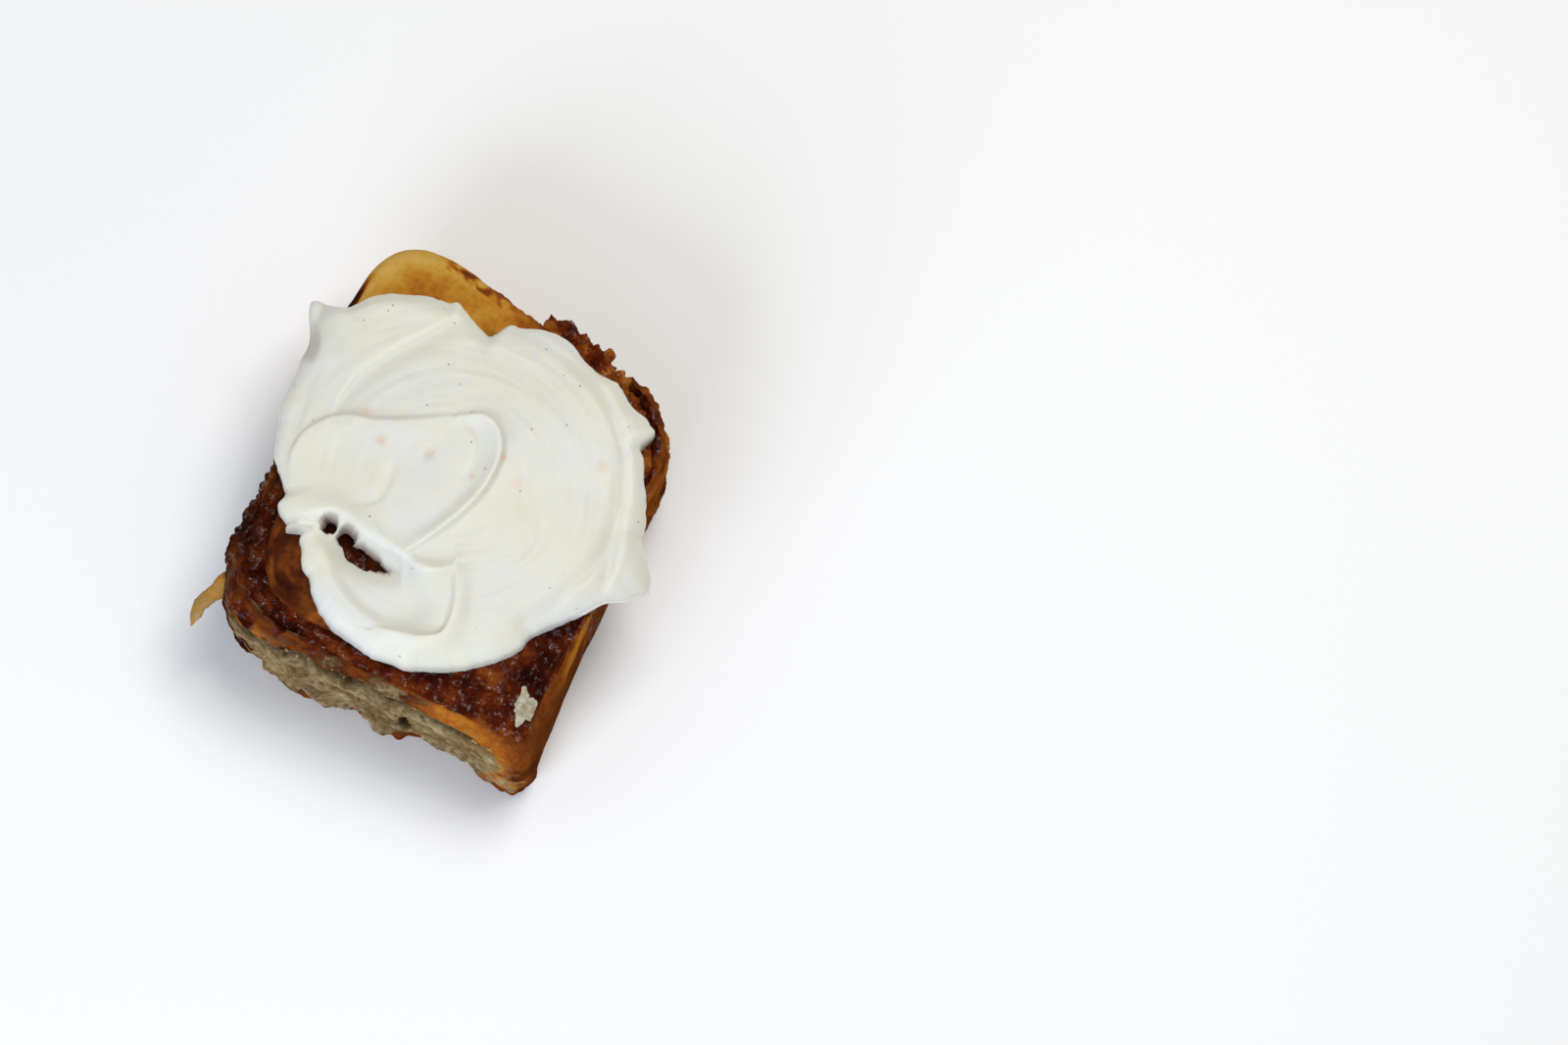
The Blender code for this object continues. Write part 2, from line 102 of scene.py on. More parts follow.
def blend(mask: Array, value: Array | float, region: Array) -> Array:
    """Moves a mask to a value where the region is 1, and leaves it where that is 0."""
    return mask + (value - mask) * region


def from_ellipse(across: Array, along: Array, ellipse: tuple) -> Array:
    """How far points are from an ellipse's middle, where 1 is its edge.

    Args:
        across: x of the points.
        along: y of the points.
        ellipse: x and y of its middle, its two half-axes, and its turn in degrees.

    Returns:
        The way along each axis as a share of that half-axis, squared, summed and rooted.
    """
    x, y, long, wide, turn = ellipse
    cosine, sine = math.cos(math.radians(turn)), math.sin(math.radians(turn))
    ahead = (across - x) * cosine + (along - y) * sine
    beside = -(across - x) * sine + (along - y) * cosine
    return np.hypot(ahead / long, beside / wide)


def from_openings(spots: Array) -> Array:
    """How far points are from the openings in the frosting, seen from above, in metres."""
    return np.hypot(spots[..., 0] - OPENINGS[0], spots[..., 1] - OPENINGS[1])


def linear(colour: str) -> tuple[float, float, float, float]:
    """Turns an sRGB hex colour to linear light.

    Args:
        colour: such as "#a0b0c0".

    Returns:
        Red, green, blue and an alpha of 1.
    """
    parts = [int(colour[at : at + 2], 16) / 255.0 for at in (1, 3, 5)]
    light = [part / 12.92 if part <= 0.04045 else ((part + 0.055) / 1.055) ** 2.4 for part in parts]
    return (light[0], light[1], light[2], 1.0)


def per_metre(size: float) -> float:
    """The scale of a texture on Object coordinates whose pattern cells are that wide, in metres."""
    return 1.0 / size


class Grain:
    """Seeded smooth noise in space: a lattice of random heights, and one scattered point per cell."""

    CELLS = 32

    def __init__(self, seed: int) -> None:
        """Draws the lattice.

        Args:
            seed: fixes every random value.
        """
        rng = np.random.default_rng(seed)
        self.heights = rng.uniform(-1.0, 1.0, (self.CELLS,) * 3)
        self.points = rng.uniform(0.12, 0.88, (self.CELLS,) * 3 + (3,))

    def waves(self, spots: Array, size: float) -> Array:
        """One octave: the eight lattice heights round a spot, blended by S curves.

        Args:
            spots: points in metres, shape (..., 3).
            size: width of a cell in metres.

        Returns:
            Values from -1 to 1.
        """
        scaled = spots / size
        low = np.floor(scaled).astype(int)
        part = smooth(scaled - low)
        total = np.zeros(spots.shape[:-1])
        for corner in np.ndindex(2, 2, 2):
            weight = np.prod(np.where(corner, part, 1.0 - part), axis=-1)
            at = (low + corner) % self.CELLS
            total += weight * self.heights[at[..., 0], at[..., 1], at[..., 2]]
        return total

    def layered(self, spots: Array, size: float, layers: int = 3) -> Array:
        """Octaves of waves, each half as wide and half as high as the one before.

        Args:
            spots: points in metres, shape (..., 3).
            size: width of the widest cell in metres.
            layers: how many octaves.

        Returns:
            Values mostly from -1 to 1.
        """
        total = np.zeros(spots.shape[:-1])
        amount = 1.0
        for layer in range(layers):
            total += amount * self.waves(spots + 0.137 * layer, size / 2.0**layer)
            amount *= 0.5
        return total / (1.0 - 0.5**layers) * 0.85

    def nearest(self, spots: Array, size: float) -> Array:
        """The distance to the nearest of the scattered points, one to a cell.

        Args:
            spots: points in metres, shape (..., 3).
            size: width of a cell in metres.

        Returns:
            The distance in cell widths, 0 at a point.
        """
        scaled = spots / size
        low = np.floor(scaled).astype(int)
        closest = np.full(spots.shape[:-1], 9.0)
        for step in np.ndindex(3, 3, 3):
            cell = low + np.array(step) - 1
            at = cell % self.CELLS
            point = cell + self.points[at[..., 0], at[..., 1], at[..., 2]]
            closest = np.minimum(closest, np.sum((scaled - point) ** 2, axis=-1))
        return np.sqrt(closest)


@dataclass(frozen=True)
class Coil:
    """The squarish coil in polar form: its outline, its crowns and where each turn of the strip lies."""

    centre: tuple = (1.1035 * MM, 0.4656 * MM)
    sides: tuple = ((8.0, 40.1 * MM), (85.3, 49.4 * MM), (187.1, 42.1 * MM), (275.0, 49.8 * MM))
    mean_radius: float = 49.0 * MM
    sharpness: float = 7.3
    odd_corners: tuple = ((316.0, 8.7, 26.0), (132.0, -1.9, 30.0), (54.0, 0.7, 20.0))
    swells: tuple = (
        (40.0, 3.6 * MM, 10.0),
        (120.0, 1.2 * MM, 10.0),
        (149.0, -1.4 * MM, 13.0),
        (218.0, 1.8 * MM, 12.0),
        (313.0, 2.2 * MM, 7.0),
    )
    rim_height: float = 34.0 * MM
    dome_height: float = 4.0 * MM
    rim_drops: tuple = ((316.0, 4.5 * MM, 19.0), (214.0, 2.5 * MM, 19.0), (236.0, 2.0 * MM, 10.0))
    tip_angle: float = 94.0
    taper_turns: float = 0.22
    thin_turn: float = 5.6 * MM
    full_turn: float = 12.5 * MM
    thickening: tuple = (0.62, 0.86)
    shared_face: tuple = (0.93, 1.03)
    eye_radius: float = 0.7 * MM
    rounding_rate: float = 2.5
    channel: float = 1.2 * MM
    shoulder: tuple = (4.2 * MM, 6.0 * MM)
    rim_shoulder: tuple = (5.0 * MM, 7.5 * MM)
    pool: tuple = (316.0, 4.5 * MM, 26.0)
    outer_share: float = 0.5
    inner_share: float = 0.38
    foot_share: float = 0.03
    torn_foot: tuple = (266.0, 0.045, 30.0)

    def outline(self, angle: Array) -> Array:
        """The outer radius: a superellipse of four sides, whose corners vary, and swells.

        Args:
            angle: directions in degrees.

        Returns:
            Radii in metres.
        """
        sharpness = self.sharpness + total_bump(angle, self.odd_corners)
        reach = np.zeros_like(angle)
        for facing, distance in self.sides:
            towards = np.cos(np.radians(angle - facing))
            reach = reach + np.maximum(0.0, towards / distance) ** sharpness
        return reach ** (-1.0 / sharpness) + total_bump(angle, self.swells)

    def top_height(self, angle: Array, radius: Array) -> Array:
        """The height of the crowns: a low dome whose rim sinks at two corners.

        Args:
            angle: directions in degrees.
            radius: distances from the coil's centre.

        Returns:
            Heights in metres.
        """
        share = np.minimum(radius / self.outline(angle), 1.1)
        sunk = total_bump(angle, self.rim_drops) * share**7
        return self.rim_height + self.dome_height * (1.0 - share**2) - sunk

    def turn_angle(self, turn: Array) -> Array:
        """The direction at which the strip is after a number of turns, wound clockwise."""
        return self.tip_angle - 360.0 * turn

    def thickness(self, turn: Array, seams_in: Array) -> Array:
        """The strip's thickness: a tapered tip, a thin stretched turn, then full turns.

        Args:
            turn: turns from the outer tip.
            seams_in: from how many seams further in it is seen.

        Returns:
            Metres.
        """
        taper = 1.0 - np.maximum(0.0, 1.0 - turn / (self.taper_turns * seams_in)) ** 2.2
        start = self.thickening[0] / seams_in
        full = smooth((turn - start) / (self.thickening[1] - start))
        return self.thin_turn * taper + (self.full_turn - self.thin_turn) * full

    def boundary(self, turn: Array) -> Array:
        """The radius of the strip's outer face: each turn lies one thickness inside the last.

        Args:
            turn: turns from the outer tip.

        Returns:
            Metres.
        """
        seams = np.floor(turn)
        depth = np.zeros_like(turn)
        for back in range(1, 7):
            one = self.thickness(turn - back, np.maximum(seams, 1.0))
            depth = depth + np.where(back <= seams, one, 0.0)
        share = np.minimum(depth / self.mean_radius, 1.0)
        roundness = np.minimum(self.rounding_rate * share, 1.0)
        shape = (1.0 - roundness) * self.outline(self.turn_angle(turn)) + roundness * self.mean_radius
        return (1.0 - share) * shape

    def exposure(self, turn: Array) -> Array:
        """How far the strip's outer face is the outside of the roll."""
        return 1.0 - smooth((turn - self.shared_face[0]) / (self.shared_face[1] - self.shared_face[0]))

    def walls(self, turn: Array) -> tuple[Array, Array]:
        """The radii of the strip's two walls.

        Args:
            turn: turns from the outer tip.

        Returns:
            The inner and the outer radius.
        """
        outer = self.boundary(turn) - self.channel * (1.0 - self.exposure(turn))
        inner = np.maximum(self.boundary(turn + 1.0) + self.channel, self.eye_radius)
        return inner, outer

    def outer_edge(self, turn: Array) -> tuple[Array, Array]:
        """The rounded edge along the strip's outer side.

        Args:
            turn: turns from the outer tip.

        Returns:
            Its width and its depth.
        """
        inner, outer = self.walls(turn)
        shown = self.exposure(turn)
        pool = self.pool[1] * bump(self.turn_angle(turn), self.pool[0], self.pool[2])
        width = shown * self.rim_shoulder[0] + (1.0 - shown) * (self.shoulder[0] + pool)
        depth = shown * self.rim_shoulder[1] + (1.0 - shown) * self.shoulder[1]
        return np.minimum(width, self.outer_share * (outer - inner)), depth

    def inner_edge(self, turn: Array) -> tuple[Array, float]:
        """The rounded edge along the strip's inner side."""
        inner, outer = self.walls(turn)
        return np.minimum(self.shoulder[0], self.inner_share * (outer - inner)), self.shoulder[1]

    def place(self, angle: Array, radius: Array, height: Array) -> Array:
        """Points of the roll, drawn in towards the foot and most of all under the torn side.

        Args:
            angle: directions in degrees.
            radius: distances from the coil's centre.
            height: heights above the underside.

        Returns:
            Points, shape (..., 3).
        """
        narrow = self.foot_share + self.torn_foot[1] * bump(angle, self.torn_foot[0], self.torn_foot[2])
        reach = radius * (1.0 - narrow * (1.0 - height / self.rim_height))
        around = np.radians(angle)
        across = self.centre[0] + reach * np.cos(around)
        along = self.centre[1] + reach * np.sin(around)
        return np.stack(np.broadcast_arrays(across, along, height), axis=-1)

    def steps(self, start: float, end: float, pace: Callable[[float], float]) -> Array:
        """Turn counts at even distances along the strip.

        Args:
            start: the first turn count.
            end: the last.
            pace: gives the distance to the next one, in metres, from a turn count.

        Returns:
            The turn counts.
        """
        turns = [start]
        while turns[-1] < end:
            here = np.array([turns[-1]])
            around = math.tau * max(float(self.boundary(here)[0]), 6.0 * MM)
            turns.append(turns[-1] + pace(turns[-1]) / around)
        turns[-1] = end
        return np.array(turns)


def crags(angle: Array, height: Array) -> Array:
    """The coarse unevenness of a rough wall: three waves round it that climb at different slopes.

    Args:
        angle: directions in degrees.
        height: heights in metres.

    Returns:
        Values from -1 to 1.
    """
    around = np.radians(angle)
    up = height / (6.0 * MM)
    first = 0.40 * np.sin(23.0 * around + 1.9 * up)
    second = 0.30 * np.sin(37.0 * around - 2.7 * up + 1.0)
    return first + second + 0.30 * np.sin(14.0 * around + 3.6 * up + 2.3)


def face_loops(rows: int, columns: int) -> tuple[Array, Array]:
    """The faces of a grid that closes round its columns and ends in a point at both ends.

    Args:
        rows: rings of the grid.
        columns: points in a ring.

    Returns:
        Quads, and the triangles of the two end caps. The caps' middles are the last two points.
    """
    here = np.arange(rows * columns).reshape(rows, columns)
    beside = np.roll(here, -1, axis=1)
    quads = np.stack([here[:-1], beside[:-1], beside[1:], here[1:]], axis=-1).reshape(-1, 4)
    first = np.full(columns, rows * columns)
    caps = [np.stack([first, beside[0], here[0]], axis=-1)]
    caps.append(np.stack([first + 1, here[-1], beside[-1]], axis=-1))
    return quads, np.concatenate(caps)


def turned_in(grid: Array) -> bool:
    """Whether the faces of a grid look inward.

    Args:
        grid: points, shape (rows, columns, 3), closed round the columns.

    Returns:
        True if the volume that its quads enclose comes out negative.
    """
    beside = np.roll(grid, -1, axis=1)
    first = np.einsum("ijk,ijk->", grid[:-1], np.cross(beside[:-1], beside[1:]))
    second = np.einsum("ijk,ijk->", grid[:-1], np.cross(beside[1:], grid[1:]))
    return bool(first + second < 0.0)


def outward(grid: Array) -> Array:
    """The direction that faces away from the inside at each point of a grid.

    Args:
        grid: points, shape (rows, columns, 3), closed round the columns.

    Returns:
        Unit vectors of the same shape: along the columns times along the rows.
    """
    down = np.gradient(grid, axis=0)
    across = np.roll(grid, -1, axis=1) - np.roll(grid, 1, axis=1)
    facing = np.cross(across, down)
    facing /= np.linalg.norm(facing, axis=-1, keepdims=True) + 1e-12
    return -facing if turned_in(grid) else facing


def put(name: str, data: bpy.types.ID) -> bpy.types.Object:
    """Puts an object into the scene.

    Args:
        name: its name.
        data: its mesh, lamp or camera.

    Returns:
        The object.
    """
    holder = bpy.data.objects.new(name, data)
    bpy.context.scene.collection.objects.link(holder)
    return holder


def make_piece(
    name: str, grid: Array, finish: bpy.types.Material, masks: dict[str, Array] | None = None
) -> bpy.types.Object:
    """Builds a closed, smooth mesh object from a grid and writes its masks as attributes.

    Args:
        name: the object's name.
        grid: points, shape (rows, columns, 3), closed round the columns.
        finish: its material.
        masks: values from 0 to 1 for each point, by name.

    Returns:
        The object.
    """
    rows, columns = grid.shape[:2]
    middles = np.stack([grid[0].mean(axis=0), grid[-1].mean(axis=0)])
    points = np.concatenate([grid.reshape(-1, 3), middles])
    quads, caps = face_loops(rows, columns)
    if turned_in(grid):
        quads, caps = quads[:, ::-1], caps[:, ::-1]
    mesh = bpy.data.meshes.new(name)
    mesh.vertices.add(len(points))
    mesh.vertices.foreach_set("co", points.astype(np.float32).ravel())
    loops = np.concatenate([quads.ravel(), caps.ravel()]).astype(np.int32)
    mesh.loops.add(len(loops))
    mesh.loops.foreach_set("vertex_index", loops)
    starts = np.concatenate([np.arange(len(quads)) * 4, len(quads) * 4 + np.arange(len(caps)) * 3])
    mesh.polygons.add(len(starts))
    mesh.polygons.foreach_set("loop_start", starts.astype(np.int32))
    mesh.update(calc_edges=True)
    mesh.shade_smooth()
    for mask, values in (masks or {}).items():
        whole = np.broadcast_to(values, (rows, columns))
        ends = [whole[0].mean(), whole[-1].mean()]
        layer = mesh.attributes.new(mask, "FLOAT", "POINT")
        layer.data.foreach_set("value", np.concatenate([whole.ravel(), ends]).astype(np.float32))
    mesh.materials.append(finish)
    return put(name, mesh)


def set_inputs(tree: bpy.types.NodeTree, node: bpy.types.Node, inputs: dict) -> None:
    """Gives a node its values and links.

    Args:
        tree: the node tree.
        node: the node.
        inputs: a value or another node's output for each input, by name or number.
    """
    for name, value in inputs.items():
        if isinstance(value, bpy.types.NodeSocket):
            tree.links.new(value, node.inputs[name])
        else:
            node.inputs[name].default_value = value


def add_node(
    tree: bpy.types.NodeTree, kind: str, output: str | int, inputs: dict, stops: tuple = (), **settings
) -> bpy.types.NodeSocket:
    """Adds a node with its settings and links. A Mix node's floats are inputs 2 and 3, its colours 6 and 7.

    Args:
        tree: the node tree.
        kind: the node's type name without its first word.
        output: name or number of the output that is used.
        inputs: a value or another node's output for each input, by name or number.
        stops: (position, hex colour) of a colour ramp.
        **settings: properties of the node.

    Returns:
        That output.
    """
    node = tree.nodes.new("ShaderNode" + kind)
    for name, value in settings.items():
        setattr(node, name, value)
    for number, (position, colour) in enumerate(stops):
        ends = node.color_ramp.elements
        stop = ends[number] if number < 2 else ends.new(position)
        stop.position = position
        stop.color = linear(colour)
    set_inputs(tree, node, inputs)
    return node.outputs[output]


def add_masks(tree: bpy.types.NodeTree, *names: str) -> list[bpy.types.NodeSocket]:
    """Reads a piece's masks, in the order of their names."""
    return [add_node(tree, "Attribute", "Fac", {}, attribute_name=name) for name in names]


def start_material(name: str) -> tuple[bpy.types.Material, bpy.types.NodeTree, bpy.types.Node]:
    """Starts a material that holds a Principled shader and its output.

    Args:
        name: the material's name.

    Returns:
        The material, its node tree and its shader.
    """
    material = bpy.data.materials.new(name)
    material.use_nodes = True
    tree = material.node_tree
    return material, tree, tree.nodes["Principled BSDF"]


def add_glaze(
    tree: bpy.types.NodeTree,
    shader: bpy.types.Node,
    spot: bpy.types.NodeSocket,
    lump: float,
    most: float,
    share: bpy.types.NodeSocket | float,
) -> None:
    """Wet gloss in small separate glints: a clear coat with lumps of its own, and only on their crests.

    Args:
        tree: the node tree.
        shader: the Principled shader.
        spot: Object coordinates.
        lump: how wide the lumps are, in metres.
        most: the coat's weight on a crest.
        share: how far the surface is wet.
    """
    lumps = add_node(tree, "TexNoise", "Fac", {"Vector": spot, "Scale": per_metre(lump), "Detail": 2.0})
    crests = {"Value": lumps, "From Min": 0.52, "From Max": 0.62, "To Max": most}
    wet = add_node(tree, "MapRange", "Result", crests)
    coat = add_node(tree, "Math", 0, {0: share, 1: wet}, operation="MULTIPLY")
    ripple = add_node(tree, "Bump", "Normal", {"Strength": 1.0, "Distance": 1.3 * MM, "Height": lumps})
    set_inputs(tree, shader, {"Coat Weight": coat, "Coat Normal": ripple, "Coat Roughness": 0.06})


@dataclass(frozen=True)
class BakedDough:
    """Yeast dough baked in a pan: glazed crust, torn crumb, and syrup that ran over it."""

    name: str = "Yeast dough baked golden in a pan"
    toasting: tuple = (
        (0.0, "#cfa763"),
        (0.2, "#c49942"),
        (0.36, "#b77c2a"),
        (0.52, "#98531c"),
        (0.68, "#703a16"),
        (0.84, "#482110"),
        (1.0, "#2c120a"),
    )
    crumbs: tuple = ((0.3, "#483721"), (0.48, "#735e3e"), (0.66, "#a5926f"))
    syrups: tuple = ((0.36, "#200805"), (0.46, "#38120a"), (0.54, "#511e0c"), (0.64, "#763c15"))
    # The colour of painted shade in hollows, on the left side and under the openings in the frosting.
    hollow: str = "#20180d"
    patch: float = 7.0 * MM
    speckle: float = 1.3 * MM
    pore: float = 0.9 * MM
    lump: float = 1.7 * MM
    wet_coat: float = 0.8

    def build(self) -> bpy.types.Material:
        """Mixes crust, crumb and syrup by the piece's masks, each edge broken up by noise.

        Returns:
            The material.
        """
        material, tree, shader = start_material(self.name)
        spot = add_node(tree, "TexCoord", "Object", {})
        toast, syrup, torn, hollow = add_masks(tree, "toast", "syrup", "torn", "hollow")
        # Broad patches are where the oven's heat was uneven, and speckle is the skin's fine blistering.
        broad = {"Vector": spot, "Scale": per_metre(self.patch), "Detail": 4.0}
        patches = add_node(tree, "TexNoise", "Fac", broad)
        fine = {"Vector": spot, "Scale": per_metre(self.speckle), "Detail": 5.0, "Roughness": 0.6}
        speckles = add_node(tree, "TexNoise", "Fac", fine)
        heat = add_node(tree, "Math", 0, {0: patches, 1: 0.42, 2: toast}, operation="MULTIPLY_ADD")
        heat = add_node(tree, "Math", 0, {0: speckles, 1: 0.3, 2: heat}, operation="MULTIPLY_ADD")
        heat = add_node(tree, "Math", 0, {0: heat, 1: 0.36}, operation="SUBTRACT", use_clamp=True)
        crust = add_node(tree, "ValToRGB", "Color", {"Fac": heat}, self.toasting)
        # Torn crumb is paler where strands stand out and dark in the pores between them.
        inside = add_node(tree, "Mix", 0, {0: 0.5, 2: patches, 3: speckles}, data_type="FLOAT")
        crumb = add_node(tree, "ValToRGB", "Color", {"Fac": inside}, self.crumbs)
        depth = add_node(tree, "Mix", 0, {0: 0.25, 2: patches, 3: speckles}, data_type="FLOAT")
        dark = add_node(tree, "ValToRGB", "Color", {"Fac": depth}, self.syrups)
        shares = []
        for mask, rough in ((torn, 0.5), (syrup, 0.9)):
            broken = add_node(tree, "Math", 0, {0: speckles, 1: rough, 2: mask}, operation="MULTIPLY_ADD")
            edge = {"Value": broken, "From Min": 0.5 * rough + 0.25, "From Max": 0.5 * rough + 0.75}
            shares.append(add_node(tree, "MapRange", "Result", edge, interpolation_type="SMOOTHSTEP"))
        torn, syrup = shares
        # Painted shade: pores, pockets, the seam under the torn crust, the left side and the dough under the
        # openings are darkened towards a dark greenish brown.
        colour = crust
        for share, shade in ((torn, crumb), (syrup, dark), (hollow, linear(self.hollow))):
            colour = add_node(tree, "Mix", 2, {0: share, 6: colour, 7: shade}, data_type="RGBA")
        # The crust has a dull shine, torn crumb has none, and syrup is wet.
        dull = add_node(tree, "MapRange", "Result", {"Value": torn, "To Min": 0.6, "To Max": 0.95})
        wet = add_node(tree, "MapRange", "Result", {"Value": speckles, "To Min": 0.3, "To Max": 0.7})
        rough = add_node(tree, "Mix", 0, {0: syrup, 2: dull, 3: wet}, data_type="FLOAT")
        soft = add_node(tree, "Math", 0, {0: torn, 1: 0.3}, operation="MULTIPLY")
        # Pores pit the surface, fine blisters lift it.
        pores = add_node(tree, "TexVoronoi", "Distance", {"Vector": spot, "Scale": per_metre(self.pore)})
        deep = add_node(tree, "MapRange", "Result", {"Value": torn, "To Min": 0.12, "To Max": 0.3})
        relief = add_node(tree, "Math", 0, {0: pores, 1: deep, 2: speckles}, operation="MULTIPLY_ADD")
        lift = add_node(tree, "Bump", "Normal", {"Strength": 0.6, "Distance": 0.3 * MM, "Height": relief})
        # No specular under the coat: at a low angle it would lay a grey haze over the brown walls.
        skin = {
            "Base Color": colour,
            "Roughness": rough,
            "Specular IOR Level": 0.0,
            "Subsurface Weight": soft,
            "Subsurface Radius": (1.0, 0.7, 0.4),
            "Subsurface Scale": 1.2 * MM,
            "Normal": lift,
        }
        set_inputs(tree, shader, skin)
        add_glaze(tree, shader, spot, self.lump, self.wet_coat, syrup)
        return material


@dataclass(frozen=True)
class CinnamonCaramel:
    """Sugar, butter and cinnamon that melted in the oven and set as a sticky caramel."""

    name: str = "Cinnamon sugar baked to a sticky caramel"
    wet_shades: tuple = ((0.36, "#1c0704"), (0.46, "#330f08"), (0.54, "#4b1a0b"), (0.64, "#6c3211"))
    dry_shades: tuple = ((0.39, "#45160a"), (0.49, "#7a3612"), (0.59, "#b06a25"))
    # The colour of painted shade on the caramel.
    thickness_and_painted_shade: str = "#150604"
    grain: float = 0.9 * MM
    lump: float = 3.2 * MM
    pool: float = 7.0 * MM
    bead: float = 1.7 * MM
    wet_coat: float = 0.85

    def build(self) -> bpy.types.Material:
        """Mixes wet and dried caramel, with fine sugar grain that catches the light.

        Returns:
            The material.
        """
        material, tree, shader = start_material(self.name)
        spot = add_node(tree, "TexCoord", "Object", {})
        dry, thickness_and_painted_shade = add_masks(tree, "dry", "thickness_and_painted_shade")
        noises = []
        for size, detail, rough in ((self.lump, 4.0, 0.5), (self.grain, 5.0, 0.62), (self.pool, 4.0, 0.5)):
            values = {"Vector": spot, "Scale": per_metre(size), "Detail": detail, "Roughness": rough}
            noises.append(add_node(tree, "TexNoise", "Fac", values))
        lumps, grains, pools = noises
        shade = add_node(tree, "Mix", 0, {0: 0.3, 2: pools, 3: grains}, data_type="FLOAT")
        wet_colour = add_node(tree, "ValToRGB", "Color", {"Fac": shade}, self.wet_shades)
        dry_colour = add_node(tree, "ValToRGB", "Color", {"Fac": shade}, self.dry_shades)
        # Painted shade: the caramel on the left side and under the openings in the frosting is darkened
        # towards near black.
        colour = wet_colour
        for share, other in ((dry, dry_colour), (thickness_and_painted_shade, linear(self.thickness_and_painted_shade))):
            colour = add_node(tree, "Mix", 2, {0: share, 6: colour, 7: other}, data_type="RGBA")
        # Syrup that still shines between duller sugar grains.
        dulled = {"Value": grains, "From Min": 0.35, "From Max": 0.6, "To Min": 0.3, "To Max": 0.7}
        rough = add_node(tree, "MapRange", "Result", dulled)
        relief = add_node(tree, "Math", 0, {0: lumps, 1: 0.8, 2: grains}, operation="MULTIPLY_ADD")
        lift = add_node(tree, "Bump", "Normal", {"Strength": 0.6, "Distance": 0.35 * MM, "Height": relief})
        skin = {"Base Color": colour, "Roughness": rough, "Specular IOR Level": 0.0, "Normal": lift}
        set_inputs(tree, shader, skin)
        add_glaze(tree, shader, spot, self.bead, self.wet_coat, 1.0)
        return material


@dataclass(frozen=True)
class VanillaFrosting:
    """Butter and cheese frosting with vanilla, smoothed with a spatula."""

    name: str = "Vanilla frosting spread with a spatula"
    cream: str = "#dadad4"
    warm: str = "#dcdac9"
    thin_shade: str = "#b4b0a4"
    stain: str = "#d6b48e"
    soak: str = "#7d5c54"
    bean: str = "#6b655a"
    cloud: float = 16.0 * MM
    bean_spacing: float = 3.8 * MM
    bean_size: float = 0.17 * MM
    streak: float = 1.6 * MM

    def build(self) -> bpy.types.Material:
        """Ivory cream that lets light in, with vanilla seeds, faint stains and thin edges.

        Returns:
            The material.
        """
        material, tree, shader = start_material(self.name)
        spot = add_node(tree, "TexCoord", "Object", {})
        clouds, streaks = (
            add_node(tree, "TexNoise", "Fac", {"Vector": spot, "Scale": per_metre(size), "Detail": detail})
            for size, detail in ((self.cloud, 3.0), (self.streak, 4.0))
        )
        mottled = add_node(tree, "Mix", 0, {0: 0.35, 2: clouds, 3: streaks}, data_type="FLOAT")
        warmth = add_node(tree, "MapRange", "Result", {"Value": mottled, "From Min": 0.4, "From Max": 0.6})
        # Vanilla seeds: a dark dot in about four out of five cells of a scattered pattern.
        cells = {"Vector": spot, "Scale": per_metre(self.bean_spacing)}
        dots = add_node(tree, "TexVoronoi", "Distance", cells)
        size = self.bean_size / self.bean_spacing
        fading = {"Value": dots, "From Min": size, "From Max": 2.0 * size, "To Min": 0.7, "To Max": 0.0}
        near = add_node(tree, "MapRange", "Result", fading)
        drawn = dots.node.outputs["Color"]
        chosen = add_node(tree, "Math", 0, {0: drawn, 1: 0.32}, operation="GREATER_THAN")
        seeds = add_node(tree, "Math", 0, {0: near, 1: chosen}, operation="MULTIPLY")
        stained, thin, soaked = add_masks(tree, "stain", "thin", "soaked")
        # Where the layer is thin, what lies under it shows as grey. Beside the openings filling soaked in.
        shades = (
            (warmth, self.warm),
            (stained, self.stain),
            (thin, self.thin_shade),
            (soaked, self.soak),
            (seeds, self.bean),
        )
        colour = linear(self.cream)
        for share, shade in shades:
            colour = add_node(tree, "Mix", 2, {0: share, 6: colour, 7: linear(shade)}, data_type="RGBA")
        lift = add_node(tree, "Bump", "Normal", {"Strength": 0.25, "Distance": 0.2 * MM, "Height": streaks})
        # Light goes a few millimetres into cream, which softens every shadow on it.
        cream = {
            "Base Color": colour,
            "Roughness": 0.45,
            "Specular IOR Level": 0.3,
            "Subsurface Weight": 0.55,
            "Subsurface Radius": (1.0, 0.85, 0.6),
            "Subsurface Scale": 2.2 * MM,
            "Normal": lift,
        }
        set_inputs(tree, shader, cream)
        return material


@dataclass(frozen=True)
class DryCrumb:
    """Loose bits of the white inside of the bread, dried at their edges."""

    name: str = "Loose bread crumb, dry at its edges"
    shades: tuple = ((0.3, "#8f8369"), (0.5, "#a89e86"), (0.7, "#c0b8a3"))
    tone: float = 1.6 * MM
    pore: float = 0.7 * MM

    def build(self) -> bpy.types.Material:
        """Pale crumb with pores, without any shine of its own.

        Returns:
            The material.
        """
        material, tree, shader = start_material(self.name)
        spot = add_node(tree, "TexCoord", "Object", {})
        broad = {"Vector": spot, "Scale": per_metre(self.tone), "Detail": 4.0}
        tones = add_node(tree, "TexNoise", "Fac", broad)
        pores = add_node(tree, "TexVoronoi", "Distance", {"Vector": spot, "Scale": per_metre(self.pore)})
        lift = add_node(tree, "Bump", "Normal", {"Strength": 0.5, "Distance": 0.25 * MM, "Height": pores})
        crumb = {
            "Base Color": add_node(tree, "ValToRGB", "Color", {"Fac": tones}, self.shades),
            "Roughness": 0.85,
            "Subsurface Weight": 0.2,
            "Subsurface Scale": 0.8 * MM,
            "Normal": lift,
        }
        set_inputs(tree, shader, crumb)
        return material


TOASTED_SHADES = ((0.3, "#6f4a22"), (0.5, "#99703a"), (0.7, "#b8924f"))
TOASTED_CRUMB = DryCrumb("Loose crumb toasted on the crust", TOASTED_SHADES)


